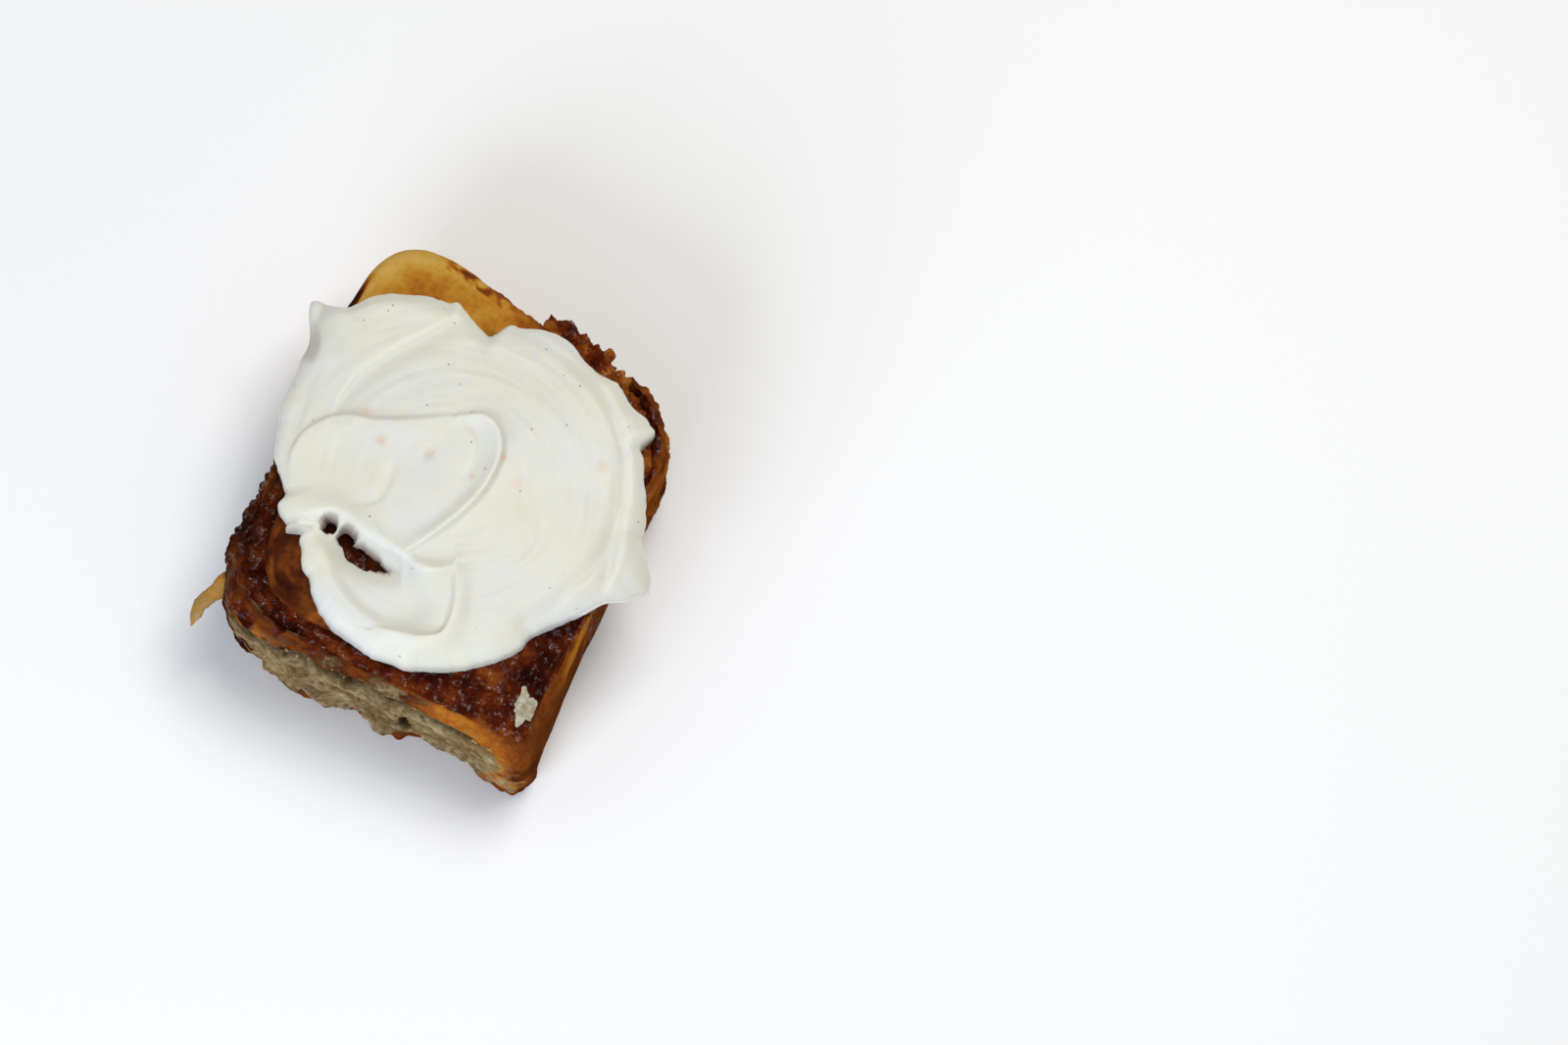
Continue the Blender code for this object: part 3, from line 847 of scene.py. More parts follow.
@dataclass(frozen=True)
class PaleTable:
    """A plain table top under soft light."""

    name: str = "Matt pale table top"
    colour: str = "#f3f3f2"

    def build(self) -> bpy.types.Material:
        """A matt, even surface.

        Returns:
            The material.
        """
        material, tree, shader = start_material(self.name)
        set_inputs(tree, shader, {"Base Color": linear(self.colour), "Roughness": 0.8})
        return material


@dataclass(frozen=True)
class Arcs:
    """Stretches of the coil: the direction where each begins, where it ends and how far its ends fade."""

    golden: tuple = (93.0, 172.0, 6.0)
    scorched: tuple = (101.0, 121.0, 9.0)
    right_side: tuple = (-44.0, 87.0, 5.0)
    # The far ledge's wall, darkened partly as baked brown and partly as painted shade.
    painted_shade_far_ledge: tuple = (140.0, 157.0, 7.0)
    right_stripe: tuple = (-40.0, 25.0, 10.0)
    rough_rim: tuple = (22.0, 66.0, 6.0)
    near_corner: tuple = (300.0, 330.0, 8.0)
    corner_foot: tuple = (302.0, 309.0, 4.0)
    near_rim: tuple = (226.0, 296.0, 8.0)
    inner_ridge: tuple = (200.0, 300.0, 10.0)
    left_ridge: tuple = (198.0, 250.0, 18.0)
    left_side: tuple = (172.0, 236.0, 7.0)
    streaks: tuple = (236.0, 292.0, 8.0)
    blotches: tuple = (226.0, 264.0, 6.0)
    pool: tuple = (280.0, 342.0, 10.0)
    second_pool: tuple = (266.0, 352.0, 8.0)
    right_syrup: tuple = (-20.0, 62.0, 10.0)
    torn: tuple = (235.0, 305.5, 4.0)
    torn_end: tuple = (305.5, 313.0, 3.0)
    stretch_marks: tuple = (226.0, 304.0, 8.0)
    foot_teeth: tuple = (236.0, 318.0, 5.0)
    strip_end: tuple = (60.0, 95.0, 6.0)
    left_flood: tuple = (176.0, 236.0, 8.0)
    inner_flood: tuple = (196.0, 268.0, 8.0)
    dried_right: tuple = (20.0, 62.0, 6.0)
    # Where painted shade darkens the caramel on the left side.
    painted_shade_left: tuple = (172.0, 240.0, 10.0)
    thin_frosting: tuple = (157.0, 166.0, 4.0)


@dataclass(frozen=True)
class Bells:
    """Single places on the coil: their direction and how far they spread."""

    far_corner: tuple = (126.0, 12.0)
    corner_fold: tuple = (335.0, 11.0)
    corner_drop: tuple = (316.0, 8.0)
    bare_rim: tuple = (298.0, 5.0)
    light_rim: tuple = (245.0, 6.0)
    ragged_frosting: tuple = (245.0, 14.0)


ARCS = Arcs()
BELLS = Bells()
# The turn counts at which the outer turn and the second one go over into the next.
OUTER_END = 1.09
SECOND_END = 2.1


@dataclass(frozen=True)
class Places:
    """Where each point of the strip of dough is, which zone it is in, and the noise there.

    Across runs from 0 at the inner wall to 1 at the outer one, shown is 1 on the outer turn.
    """

    turn: Array
    angle: Array
    across: Array
    radius: Array
    height: Array
    shown: Array
    second: Array
    wall: Array
    rim: Array
    slow: Array
    quick: Array
    marks: Array


@dataclass
class Dough:
    """The strip of dough as one closed surface: a cut through it, swept along its coil."""

    coil: Coil
    grain: Grain
    strip: tuple = (0.08, 4.47)
    torn_turns: tuple = (0.40, 0.63)
    shown_turns: tuple = (1.33, 1.72)
    points: dict = field(
        default_factory=lambda: {
            Zone.FOOT: 5,
            Zone.WALL: 42,
            Zone.RIM: 15,
            Zone.CROWN: 9,
            Zone.EDGE: 11,
            Zone.SEAM: 7,
        }
    )
    drift_top: float = 30.0 * MM
    barrel: float = 0.8 * MM
    foot: tuple = (3.5 * MM, 1.0 * MM)
    least_wall: float = 1.3 * MM
    torn_top: float = 29.6 * MM
    torn_seam: tuple = (27.0 * MM, 1.4 * MM, 2.2 * MM)
    ragged_foot: tuple = (
        (241.0, -2.4 * MM, 7.0),
        (260.0, 3.0 * MM, 7.0),
        (281.0, 1.8 * MM, 6.0),
        (300.0, -1.8 * MM, 7.0),
    )
    # Where the rim sticks out on the far side: (direction, how far, spread).
    shelf: tuple = (150.0, 1.8 * MM, 6.0)
    smooth_relief: float = 0.12 * MM
    rough_places: tuple = (
        (266.0, 0.75 * MM, 26.0),
        (214.0, 0.9 * MM, 20.0),
        (62.0, 0.8 * MM, 26.0),
        (100.0, 0.45 * MM, 14.0),
    )
    # Where lumps cover the crust: (direction, how thickly, spread).
    lumpy_places: tuple = ((214.0, 1.0, 20.0), (62.0, 1.0, 26.0), (100.0, 0.7, 14.0))
    # Pockets in the torn side: (direction, height, half-width in degrees, half-height, depth).
    pockets: tuple = (
        (287.0, 14.0 * MM, 1.6, 5.0 * MM, 3.0 * MM),
        (271.5, 13.0 * MM, 1.4, 3.0 * MM, 1.6 * MM),
        (257.0, 2.0 * MM, 2.2, 4.0 * MM, 2.2 * MM),
    )
    pore: float = 2.7 * MM
    lump: float = 2.3 * MM
    clump: float = 9.0 * MM
    mark: float = 1.3 * MM
    teeth: float = 1.7 * MM

    def pace(self, turn: float) -> float:
        """How far apart the cuts are: closest on the torn side, wide where nothing shows.

        Args:
            turn: a turn count.

        Returns:
            Metres.
        """
        if self.torn_turns[0] < turn < self.torn_turns[1]:
            return 0.42 * MM
        if turn < OUTER_END:
            return 0.62 * MM
        if self.shown_turns[0] < turn < self.shown_turns[1]:
            return 0.7 * MM
        return 1.7 * MM if turn < SECOND_END else 2.6 * MM

    def wall_form(self, angle: Array, height: Array, rim: Array) -> Array:
        """How far the outer wall stands off its outline: barrel, tucked foot, seam and crags.

        Args:
            angle: directions in degrees.
            height: heights on the wall.
            rim: height of the rim above them.

        Returns:
            Metres, outward.
        """
        middle = 0.55 * rim
        barrel = -self.barrel * ((height - middle) / middle) ** 2
        foot = -self.foot[1] * np.maximum(0.0, 1.0 - height / self.foot[0]) ** 2
        torn = bump(angle, self.coil.torn_foot[0], self.coil.torn_foot[2])
        seam_height, seam_depth, seam_spread = self.torn_seam
        seam = -seam_depth * torn * np.exp(-(((height - seam_height) / seam_spread) ** 2))
        ragged = total_bump(angle, self.ragged_foot) * np.maximum(0.0, 1.0 - height / seam_height)
        shelf = total_bump(angle, (self.shelf,)) * smooth((height / rim - 0.35) / 0.3)
        relief = self.smooth_relief + total_bump(angle, self.rough_places)
        return barrel + foot + seam + ragged + shelf + relief * crags(angle, height)

    def cut(self, turn: Array) -> tuple[Array, Array, Array]:
        """The strip cut across at each turn count.

        Args:
            turn: turn counts, shape (cuts, 1).

        Returns:
            Radii and heights, shape (cuts, points), and the zone number of each point.
        """
        angle = self.coil.turn_angle(turn)
        inner, outer = self.coil.walls(turn)
        out_width, out_depth = self.coil.outer_edge(turn)
        in_width, in_depth = self.coil.inner_edge(turn)
        shown = self.coil.exposure(turn)
        rim = self.coil.top_height(angle, outer)
        wall_height = np.linspace(0.0, 1.0, self.points[Zone.WALL])[None] * (rim - out_depth)
        wall = np.maximum(outer + shown * self.wall_form(angle, wall_height, rim), inner + self.least_wall)
        foot = blend(inner, wall[:, :1], np.linspace(0.0, 1.0, self.points[Zone.FOOT] + 1)[None, :-1])
        edge = wall[:, -1:]
        lean = np.linspace(0.0, 0.5 * math.pi, self.points[Zone.RIM] + 1)[None, 1:]
        round_out = edge - (out_width + edge - outer) * (1.0 - np.cos(lean))
        high_out = self.coil.top_height(angle, round_out) - out_depth * (1.0 - np.sin(lean))
        lean = np.linspace(0.5 * math.pi, 0.0, self.points[Zone.EDGE])[None]
        round_in = inner + in_width * (1.0 - np.cos(lean))
        high_in = self.coil.top_height(angle, round_in) - in_depth * (1.0 - np.sin(lean))
        share = np.linspace(0.0, 1.0, self.points[Zone.CROWN] + 2)[None, 1:-1]
        crown = blend(round_out[:, -1:], round_in[:, :1], share)
        high = self.coil.top_height(angle, crown)
        low = np.linspace(1.0, 0.0, self.points[Zone.SEAM] + 1)[None, 1:] * high_in[:, -1:]
        radius = np.concatenate([foot, wall, round_out, crown, round_in, inner + 0.0 * low], axis=1)
        height = np.concatenate([0.0 * foot, wall_height, high_out, high, high_in, low], axis=1)
        zones = np.concatenate([np.full(count, zone.value) for zone, count in self.points.items()])
        return radius, height, zones

    def stretched(self, angle: Array, radius: Array) -> Array:
        """Stretch marks: noise drawn out along the rim, as dough tears into strands.

        Args:
            angle: directions in degrees.
            radius: distances from the centre.

        Returns:
            About -1 to 1.
        """
        around = np.radians(angle % 360.0) * 9.0 * MM
        away = radius - self.coil.outline(angle)
        return self.grain.layered(np.stack(np.broadcast_arrays(around, away, 0.0), axis=-1), self.mark, 4)

    def places(self, turn: Array, radius: Array, height: Array, zones: Array, spots: Array) -> Places:
        """Gathers what the masks go by.

        Args:
            turn: turn counts, shape (cuts, 1).
            radius: radii, shape (cuts, points).
            height: heights, shape (cuts, points).
            zones: zone number of each point.
            spots: the points in space.

        Returns:
            The points' places. Low on the sides the directions drift, so that colours run into each other.
        """
        shown = self.coil.exposure(turn) * (turn < OUTER_END)
        slow = self.grain.layered(spots, 8.0 * MM)
        quick = self.grain.layered(spots, 2.4 * MM)
        drift = smooth((self.drift_top - height) / (12.0 * MM)) * shown
        angle = (self.coil.turn_angle(turn) + 9.0 * drift * (slow + 0.4 * quick)) % 360.0
        inner, outer = self.coil.walls(turn)
        across = np.clip((radius - inner) / (outer - inner), 0.0, 1.0)
        second = (turn > OUTER_END) & (turn < SECOND_END)
        wall = np.isin(zones, (Zone.FOOT.value, Zone.WALL.value))[None]
        rim = (zones == Zone.RIM.value)[None]
        marks = self.stretched(angle, radius)
        return Places(turn, angle, across, radius, height, shown, second, wall, rim, slow, quick, marks)

    def toast(self, at: Places, near_rim: Array, ridge: Array) -> Array:
        """How far the oven browned each point, with painted shade on the far ledge's wall. Each blend is one
        area of the roll, laid over the last.

        Args:
            at: the points' places.
            near_rim: 1 on the rim above the torn side.
            ridge: 1 on the second turn beside it.

        Returns:
            0 where it is pale, 1 where it is almost black.
        """
        angle, across, height, shown, wall = at.angle, at.across, at.height, at.shown, at.wall
        toast = 0.62 + 0.0 * at.radius
        golden = band(angle, *ARCS.golden) * shown
        sunk = smooth((30.0 * MM - height) / (20.0 * MM))
        pale = 0.25 - 0.12 * smooth((across - 0.55) / 0.3)
        toast = blend(toast, pale + (0.2 + 0.25 * at.slow) * sunk, golden)
        inside = smooth((0.75 - across) / 0.3)
        toast = blend(toast, 0.47, golden * bump(angle, *BELLS.far_corner) * inside * 0.8)
        ragged = height + 4.0 * MM * at.quick + 5.0 * MM * at.slow
        upper = smooth((ragged - 25.0 * MM) / (5.0 * MM))
        scorched = band(angle, *ARCS.scorched) * shown * (at.rim | wall) * upper
        toast = blend(toast, 0.7, scorched * smooth(1.5 * at.quick + 0.5))
        toast = blend(toast, 0.68 - 0.1 * at.quick - 0.12 * at.slow, band(angle, *ARCS.right_side) * shown)
        # The far ledge's wall: darker than the baked wall round it, partly baked brown and partly painted
        # shade.
        far = band(angle, *ARCS.painted_shade_far_ledge) * shown * smooth((across - 0.8) / 0.05)
        toast = blend(toast, 0.84, far * smooth((ragged - 20.0 * MM) / (10.0 * MM)))
        stripe = at.rim * smooth((across - 0.62) / 0.2) * smooth((1.02 - across) / 0.12)
        toast = blend(toast, 0.42, band(angle, *ARCS.right_stripe) * shown * stripe)
        outside = smooth((across - 0.8) / 0.15)
        toast = blend(toast, 0.55, band(angle, *ARCS.rough_rim) * shown * at.rim * outside)
        corner = 0.44 + 0.26 * smooth((angle - 305.0) / 10.0) + 0.06 * wall
        toast = blend(toast, corner, band(angle, *ARCS.near_corner) * shown)
        toast = blend(toast, 0.36, band(angle, *ARCS.corner_foot) * shown * wall)
        toast = blend(toast, 0.75, bump(angle, *BELLS.corner_fold) * shown * wall)
        toast = blend(toast, 0.8, near_rim) + 0.16 * at.marks * near_rim
        bare = bump(angle, *BELLS.bare_rim) * shown * (1.0 - wall)
        toast = blend(toast, 0.46, bare * smooth((across - 0.2) / 0.3))
        light = bump(angle, *BELLS.light_rim) * shown
        toast = blend(toast, 0.5, light * smooth((across - 0.55) / 0.25))
        left = 0.26 * band(angle, *ARCS.left_ridge)
        return blend(toast, 0.55 + left + 0.07 * at.quick + 0.1 * at.marks, ridge)

    def syrup(self, at: Places, left: Array, ridge: Array, under: Array) -> Array:
        """Where syrup soaked the dough beside every seam or ran over it: a bell on each seam, and areas.

        Args:
            at: the points' places.
            left: 1 on the left side.
            ridge: 1 on the second turn beside the torn side.
            under: whether a point lies under the openings in the frosting.

        Returns:
            0 to about 1.
        """
        angle, across, shown = at.angle, at.across, at.shown
        to_inner = at.radius - self.coil.boundary(at.turn + 1.0)
        to_outer = np.where(shown > 0.5, 1.0, self.coil.boundary(at.turn) - at.radius)
        to_inner = to_inner + 3.0 * MM * ridge
        reach = (2.6 + 1.6 * at.slow) * MM
        beside = np.maximum(np.exp(-((to_inner / reach) ** 2)), np.exp(-((to_outer / reach) ** 2)))
        streaks = band(angle, *ARCS.streaks) * shown * smooth((0.85 - across) / 0.3)
        blotches = band(angle, *ARCS.blotches) * shown * (1.0 - at.wall)
        pool = band(angle, *ARCS.pool) * smooth((0.62 + 0.2 * at.slow - across) / 0.25) * shown
        layers = (
            0.95 * beside,
            left * (1.0 + 0.3 * at.quick),
            streaks * (0.4 + 0.6 * at.marks),
            blotches * (0.5 + 1.1 * at.quick),
            0.95 * np.maximum(pool, band(angle, *ARCS.second_pool) * at.second),
            band(angle, *ARCS.right_syrup) * shown * smooth((0.6 - across) / 0.25),
        )
        syrup = np.where(under, 1.0, reduce(np.maximum, layers))
        return syrup * (1.0 - 0.75 * bump(angle, *BELLS.bare_rim) * shown * smooth((across - 0.3) / 0.3))

    def torn(self, at: Places, near_rim: Array) -> Array:
        """Where the side was torn from the next roll, up to a ragged edge that drops at one corner.

        Args:
            at: the points' places.
            near_rim: 1 on the rim above the torn side, which tore in strands.

        Returns:
            0 to 1.
        """
        edge = self.torn_top - 7.0 * MM * bump(at.angle, *BELLS.corner_drop) + 0.9 * MM * at.quick
        spread = band(at.angle, *ARCS.torn) + 0.42 * band(at.angle, *ARCS.torn_end)
        torn = np.minimum(spread, 1.0) * at.shown * smooth((edge - at.height) / (1.2 * MM))
        torn = np.maximum(torn, near_rim * (0.33 + 0.35 * at.marks))
        return torn * (1.0 - 0.8 * smooth((3.2 * MM - at.height + 2.5 * MM * at.quick) / (1.5 * MM)))

    def masks(self, at: Places, spots: Array) -> dict[str, Array]:
        """Where the strip is toasted, covered with syrup or torn, and where shade is painted on it.

        Args:
            at: the points' places.
            spots: the points in space.

        Returns:
            Masks from 0 to 1 by name.
        """
        rise = np.where(at.wall, smooth((at.height - 25.0 * MM) / (3.0 * MM)), 1.0)
        near_rim = band(at.angle, *ARCS.near_rim) * at.shown * rise
        ridge = band(at.angle, *ARCS.inner_ridge) * at.second
        left = band(at.angle, *ARCS.left_side) * at.shown
        under = (from_openings(spots) < 11.0 * MM) & (at.turn > 1.3)
        toast = self.toast(at, near_rim, ridge)
        syrup = self.syrup(at, left, ridge, under)
        torn = self.torn(at, near_rim)
        browned = smooth((8.0 * MM - at.height + 4.0 * MM * at.slow) / (8.0 * MM)) * at.wall * at.shown
        toast = blend(toast, np.maximum(toast, 0.7), browned)
        return {
            "toast": np.clip(toast, 0.0, 1.0),
            "syrup": np.clip(syrup * (1.0 - torn), 0.0, 1.0),
            "torn": torn,
            # Painted shade on the left side and on the dough under the openings in the frosting.
            "hollow": np.maximum(0.4 * left * (1.0 - torn), 0.6 * under),
        }

    def relief(
        self, turn: Array, height: Array, zones: Array, spots: Array, masks: dict
    ) -> tuple[Array, Array]:
        """Fine relief on top of the form: pores and strands, blisters, stretch marks and syrup lumps.

        Args:
            turn: turn counts, shape (cuts, 1).
            height: heights, shape (cuts, points).
            zones: zone number of each point.
            spots: the points in space.
            masks: the masks so far.

        Returns:
            Metres outward, and how much painted shade each point gets, from 0 to 1.
        """
        angle = self.coil.turn_angle(turn)
        shown = self.coil.exposure(turn) * (turn < OUTER_END)
        top = np.isin(zones, (Zone.RIM.value, Zone.CROWN.value, Zone.EDGE.value))[None]
        torn = masks["torn"]
        flat = np.stack([spots[..., 0], spots[..., 1], 1.5 * spots[..., 2]], axis=-1)
        pores = smooth((0.42 - self.grain.nearest(flat, self.pore)) / 0.25)
        coarse = self.grain.layered(spots, 4.0 * MM, 4)
        clumps = self.grain.waves(spots, self.clump)
        crumb = 0.28 * MM * coarse - 0.8 * MM * pores * smooth(0.6 + 1.5 * clumps)
        pocket = np.zeros_like(height)
        for centre, level, wide, tall, depth in self.pockets:
            beside, above = apart(angle, centre) / wide, (height - level) / tall
            near = np.sqrt(beside**2 + above**2) + 0.35 * coarse
            pocket = np.maximum(pocket, depth * smooth((1.1 - near) / 0.5))
        rough = total_bump(angle, self.lumpy_places) * shown
        lumps = smooth((0.75 - self.grain.nearest(spots, self.lump)) / 0.6)
        crust = 0.12 * MM * coarse + rough * MM * (0.9 * lumps - 0.35)
        away = np.hypot(spots[..., 0] - self.coil.centre[0], spots[..., 1] - self.coil.centre[1])
        marked = band(angle, *ARCS.stretch_marks) * (turn < 2.0) * top
        crust = crust + 0.45 * MM * self.stretched(angle, away) * marked
        crust = crust + masks["syrup"] * 0.5 * MM * (lumps - 0.4) * top
        total = torn * (crumb - pocket) + (1.0 - torn) * crust
        # Under the torn edge a seam opens in stretches.
        seam_height, _, seam_spread = self.torn_seam
        seam = np.exp(-(((height - seam_height) / (0.7 * seam_spread)) ** 2)) * torn
        broken = smooth(1.3 + 1.2 * clumps)
        # Painted shade: the torn crumb's pores and pockets and the seam under its crust are darkened,
        # standing in for the shade in them.
        hollow = torn * (0.55 * pores) + torn * np.minimum(pocket / (1.5 * MM), 1.0) * 0.85
        hollow = hollow + 0.9 * seam * broken
        seen = np.where(turn < OUTER_END, 1.0, top)
        total = total * seen * smooth(height / (1.5 * MM)) - 1.1 * MM * seam * broken
        # The foot tore off the pan in teeth.
        foot = band(angle, *ARCS.foot_teeth) * shown * (zones == Zone.WALL.value)[None]
        low = smooth((15.0 * MM - height) / (10.0 * MM))
        teeth = self.teeth * self.grain.layered(flat, 5.0 * MM, 3) * low
        return total + teeth * foot, np.clip(hollow, 0.0, 0.95)

    def build(self, finish: bpy.types.Material) -> bpy.types.Object:
        """Sweeps the strip and dresses it.

        Args:
            finish: the baked dough.

        Returns:
            The dough.
        """
        turn = self.coil.steps(self.strip[0], self.strip[1], self.pace)[:, None]
        radius, height, zones = self.cut(turn)
        spots = self.coil.place(self.coil.turn_angle(turn), radius, height)
        masks = self.masks(self.places(turn, radius, height, zones, spots), spots)
        lift, hollow = self.relief(turn, height, zones, spots, masks)
        # The painted shade of the torn side joins the rest.
        masks["hollow"] = np.maximum(masks["hollow"], hollow)
        grid = spots + outward(spots) * lift[..., None]
        grid[..., 2] = np.maximum(grid[..., 2], 0.0)
        return make_piece("baked_dough_coil", grid, finish, masks)


@dataclass
class Shred:
    """A finger of dough that stuck to the next roll: circles of changing width along a bent path."""

    coil: Coil
    grain: Grain
    path: tuple = (
        (-34.3 * MM, -39.0 * MM, 26.5 * MM),
        (-35.6 * MM, -42.3 * MM, 27.0 * MM),
        (-37.4 * MM, -45.2 * MM, 25.5 * MM),
        (-38.9 * MM, -48.6 * MM, 23.4 * MM),
        (-38.7 * MM, -52.8 * MM, 20.2 * MM),
    )
    radii: tuple = (2.4 * MM, 2.5 * MM, 1.8 * MM, 2.0 * MM, 0.8 * MM)
    cuts: int = 60
    sides: int = 28

    def build(self, finish: bpy.types.Material) -> bpy.types.Object:
        """Sweeps the finger.

        Args:
            finish: the baked dough.

        Returns:
            The shred.
        """
        along = np.linspace(0.0, len(self.path) - 1.0, self.cuts)
        marks = np.arange(len(self.path))
        centre = np.stack([np.interp(along, marks, values) for values in np.array(self.path).T], axis=-1)
        radius = np.interp(along, marks, self.radii)[:, None]
        to_tip = (len(self.path) - 1.0 - along[:, None]) / 0.35
        radius = radius * np.minimum(1.0, np.sqrt(np.maximum(to_tip, 0.02)))
        around = np.linspace(0.0, math.tau, self.sides, endpoint=False)[None]
        wide = radius * np.cos(around)
        grid = np.stack([0.91 * wide, -0.41 * wide, 0.8 * radius * np.sin(around)], axis=-1) + centre[:, None]
        grid += np.array([*self.coil.centre, 0.0])
        lift = self.grain.layered(grid, 3.0 * MM, 4) * 0.5 * MM
        grid = grid + outward(grid) * lift[..., None]
        out = np.broadcast_to((along / along[-1])[:, None], grid.shape[:2])
        masks = {
            "toast": 0.42 - 0.2 * out,
            "torn": 0.42 + 0.14 * out,
            "syrup": 0.5 * (1.0 - 2.0 * out),
            "hollow": 0.0 * out,
        }
        return make_piece("drawn_out_shred", grid, finish, masks)


@dataclass
class Filling:
    """The ribbon of cinnamon filling: a cut through it, swept along the seam between the turns."""

    coil: Coil
    grain: Grain
    ribbon: tuple = (1.002, 4.45)
    base: float = 0.4 * MM
    half: float = 0.85 * MM
    sunk: float = 1.5 * MM
    crown_sunk: float = 1.1 * MM
    crust_bulge: float = 1.3 * MM
    soak: float = 0.15 * MM
    lump: float = 2.6 * MM
    nodule: float = 3.4 * MM
    points: tuple = (6, 14, 9)

    def pace(self, turn: float) -> float:
        """How far apart the cuts are, in metres: closest where the outer turn ends, wide where none shows."""
        return 0.42 * MM if turn < 1.12 else 0.6 * MM if turn < 1.95 else 2.2 * MM

    def cut(self, turn: Array) -> tuple[Array, Array]:
        """The ribbon cut across at each turn count: up one side, over its crown and down the other.

        Args:
            turn: turn counts, shape (cuts, 1).

        Returns:
            Radii and heights, shape (cuts, points).
        """
        angle = self.coil.turn_angle(turn)
        centre = self.coil.boundary(turn)
        fade = smooth((turn - self.ribbon[0]) / 0.008) * smooth((1.07 - turn) / 0.02)
        bulge = self.crust_bulge * fade * (1.0 + 0.5 * crags(1.7 * angle, 0.0 * angle))
        in_width, in_depth = self.coil.outer_edge(turn)
        out_width, out_depth = self.coil.inner_edge(turn - 1.0)
        straight, curved, top = self.points
        lean = np.linspace(0.0, 0.97 * math.asin(1.0 - self.sunk / self.coil.shoulder[1]), curved)[None]
        soaked = self.soak * np.sin(lean)
        wall = centre + self.coil.channel + out_width * (1.0 - np.cos(lean))
        outer = wall + self.soak * np.cos(lean) + bulge
        outer_high = self.coil.top_height(angle, wall) - out_depth * (1.0 - np.sin(lean)) - soaked
        wall = centre - self.coil.channel - in_width * (1.0 - np.cos(lean))
        inner = wall - self.soak * np.cos(lean)
        inner_high = self.coil.top_height(angle, wall) - in_depth * (1.0 - np.sin(lean)) - soaked
        crown = self.coil.top_height(angle, centre) - self.crown_sunk
        rise = np.linspace(0.0, 1.0, straight)[None, :-1]
        fall = 1.0 - rise[:, ::-1]
        share = np.linspace(0.0, 1.0, top + 1)[None, 1:]
        parts = (
            (blend(centre + self.half, outer[:, :1], rise), blend(self.base, outer_high[:, :1], rise)),
            (outer, outer_high),
            (blend(outer[:, -1:], centre, share), blend(outer_high[:, -1:], crown, share)),
            (blend(centre, inner[:, -1:], share), blend(crown, inner_high[:, -1:], share)),
            (inner[:, ::-1][:, 1:], inner_high[:, ::-1][:, 1:]),
            (blend(inner[:, :1], centre - self.half, fall), blend(inner_high[:, :1], self.base, fall)),
        )
        radius, height = (np.concatenate(values, axis=1) for values in zip(*parts))
        return radius, height

    def build(self, finish: bpy.types.Material) -> bpy.types.Object:
        """Sweeps the ribbon, which soaks a little into the dough on both sides, and makes it lumpy.

        Args:
            finish: the caramel.

        Returns:
            The filling.
        """
        turn = self.coil.steps(self.ribbon[0], self.ribbon[1], self.pace)[:, None]
        angle = self.coil.turn_angle(turn)
        radius, height = self.cut(turn)
        spots = self.coil.place(angle, radius, height)
        outer_turns, inner_turns = turn < SECOND_END, turn > SECOND_END
        dry = band(angle, *ARCS.strip_end) * (turn < 1.2)
        lumps = smooth((0.8 - self.grain.nearest(spots, self.lump)) / 0.6)
        nodules = smooth((0.7 - self.grain.nearest(spots, self.nodule)) / 0.45)
        fine = self.grain.layered(spots, 1.6 * MM)
        middle = self.coil.top_height(angle, self.coil.boundary(turn))
        upper = smooth((height - middle + 9.0 * MM) / (3.0 * MM))
        lift = upper * MM * (0.55 * (lumps - 0.35) + 0.12 * fine)
        flood = np.maximum(band(angle, *ARCS.second_pool), band(angle, *ARCS.left_flood)) * outer_turns
        inner_flood = band(angle, *ARCS.inner_flood)
        flood = np.maximum(flood, 1.3 * inner_flood * (inner_turns & (turn < 3.1)))
        lift = lift + 1.1 * MM * flood * upper
        lift = lift + dry * MM * (1.9 * (nodules - 0.3) + 0.8 * (lumps - 0.4) + 0.25 * fine)
        lift = lift * smooth(height / (3.0 * MM))
        grid = spots + outward(spots) * lift[..., None]
        brown = np.maximum(dry, 0.45 * inner_flood * inner_turns)
        brown = np.maximum(brown, 0.8 * band(angle, *ARCS.dried_right) * outer_turns)
        under = smooth((12.0 * MM - from_openings(spots)) / (2.0 * MM))
        brown = brown * (1.0 - under)
        # Painted shade on the caramel of the left side and under the openings in the frosting.
        thickness_and_painted_shade = np.maximum(0.45 * band(angle, *ARCS.painted_shade_left) * outer_turns, 0.55 * under)
        masks = {"dry": np.clip(brown * (0.75 + 0.4 * fine), 0.0, 1.0), "thickness_and_painted_shade": thickness_and_painted_shade}
        return make_piece("cinnamon_caramel", grid, finish, masks)


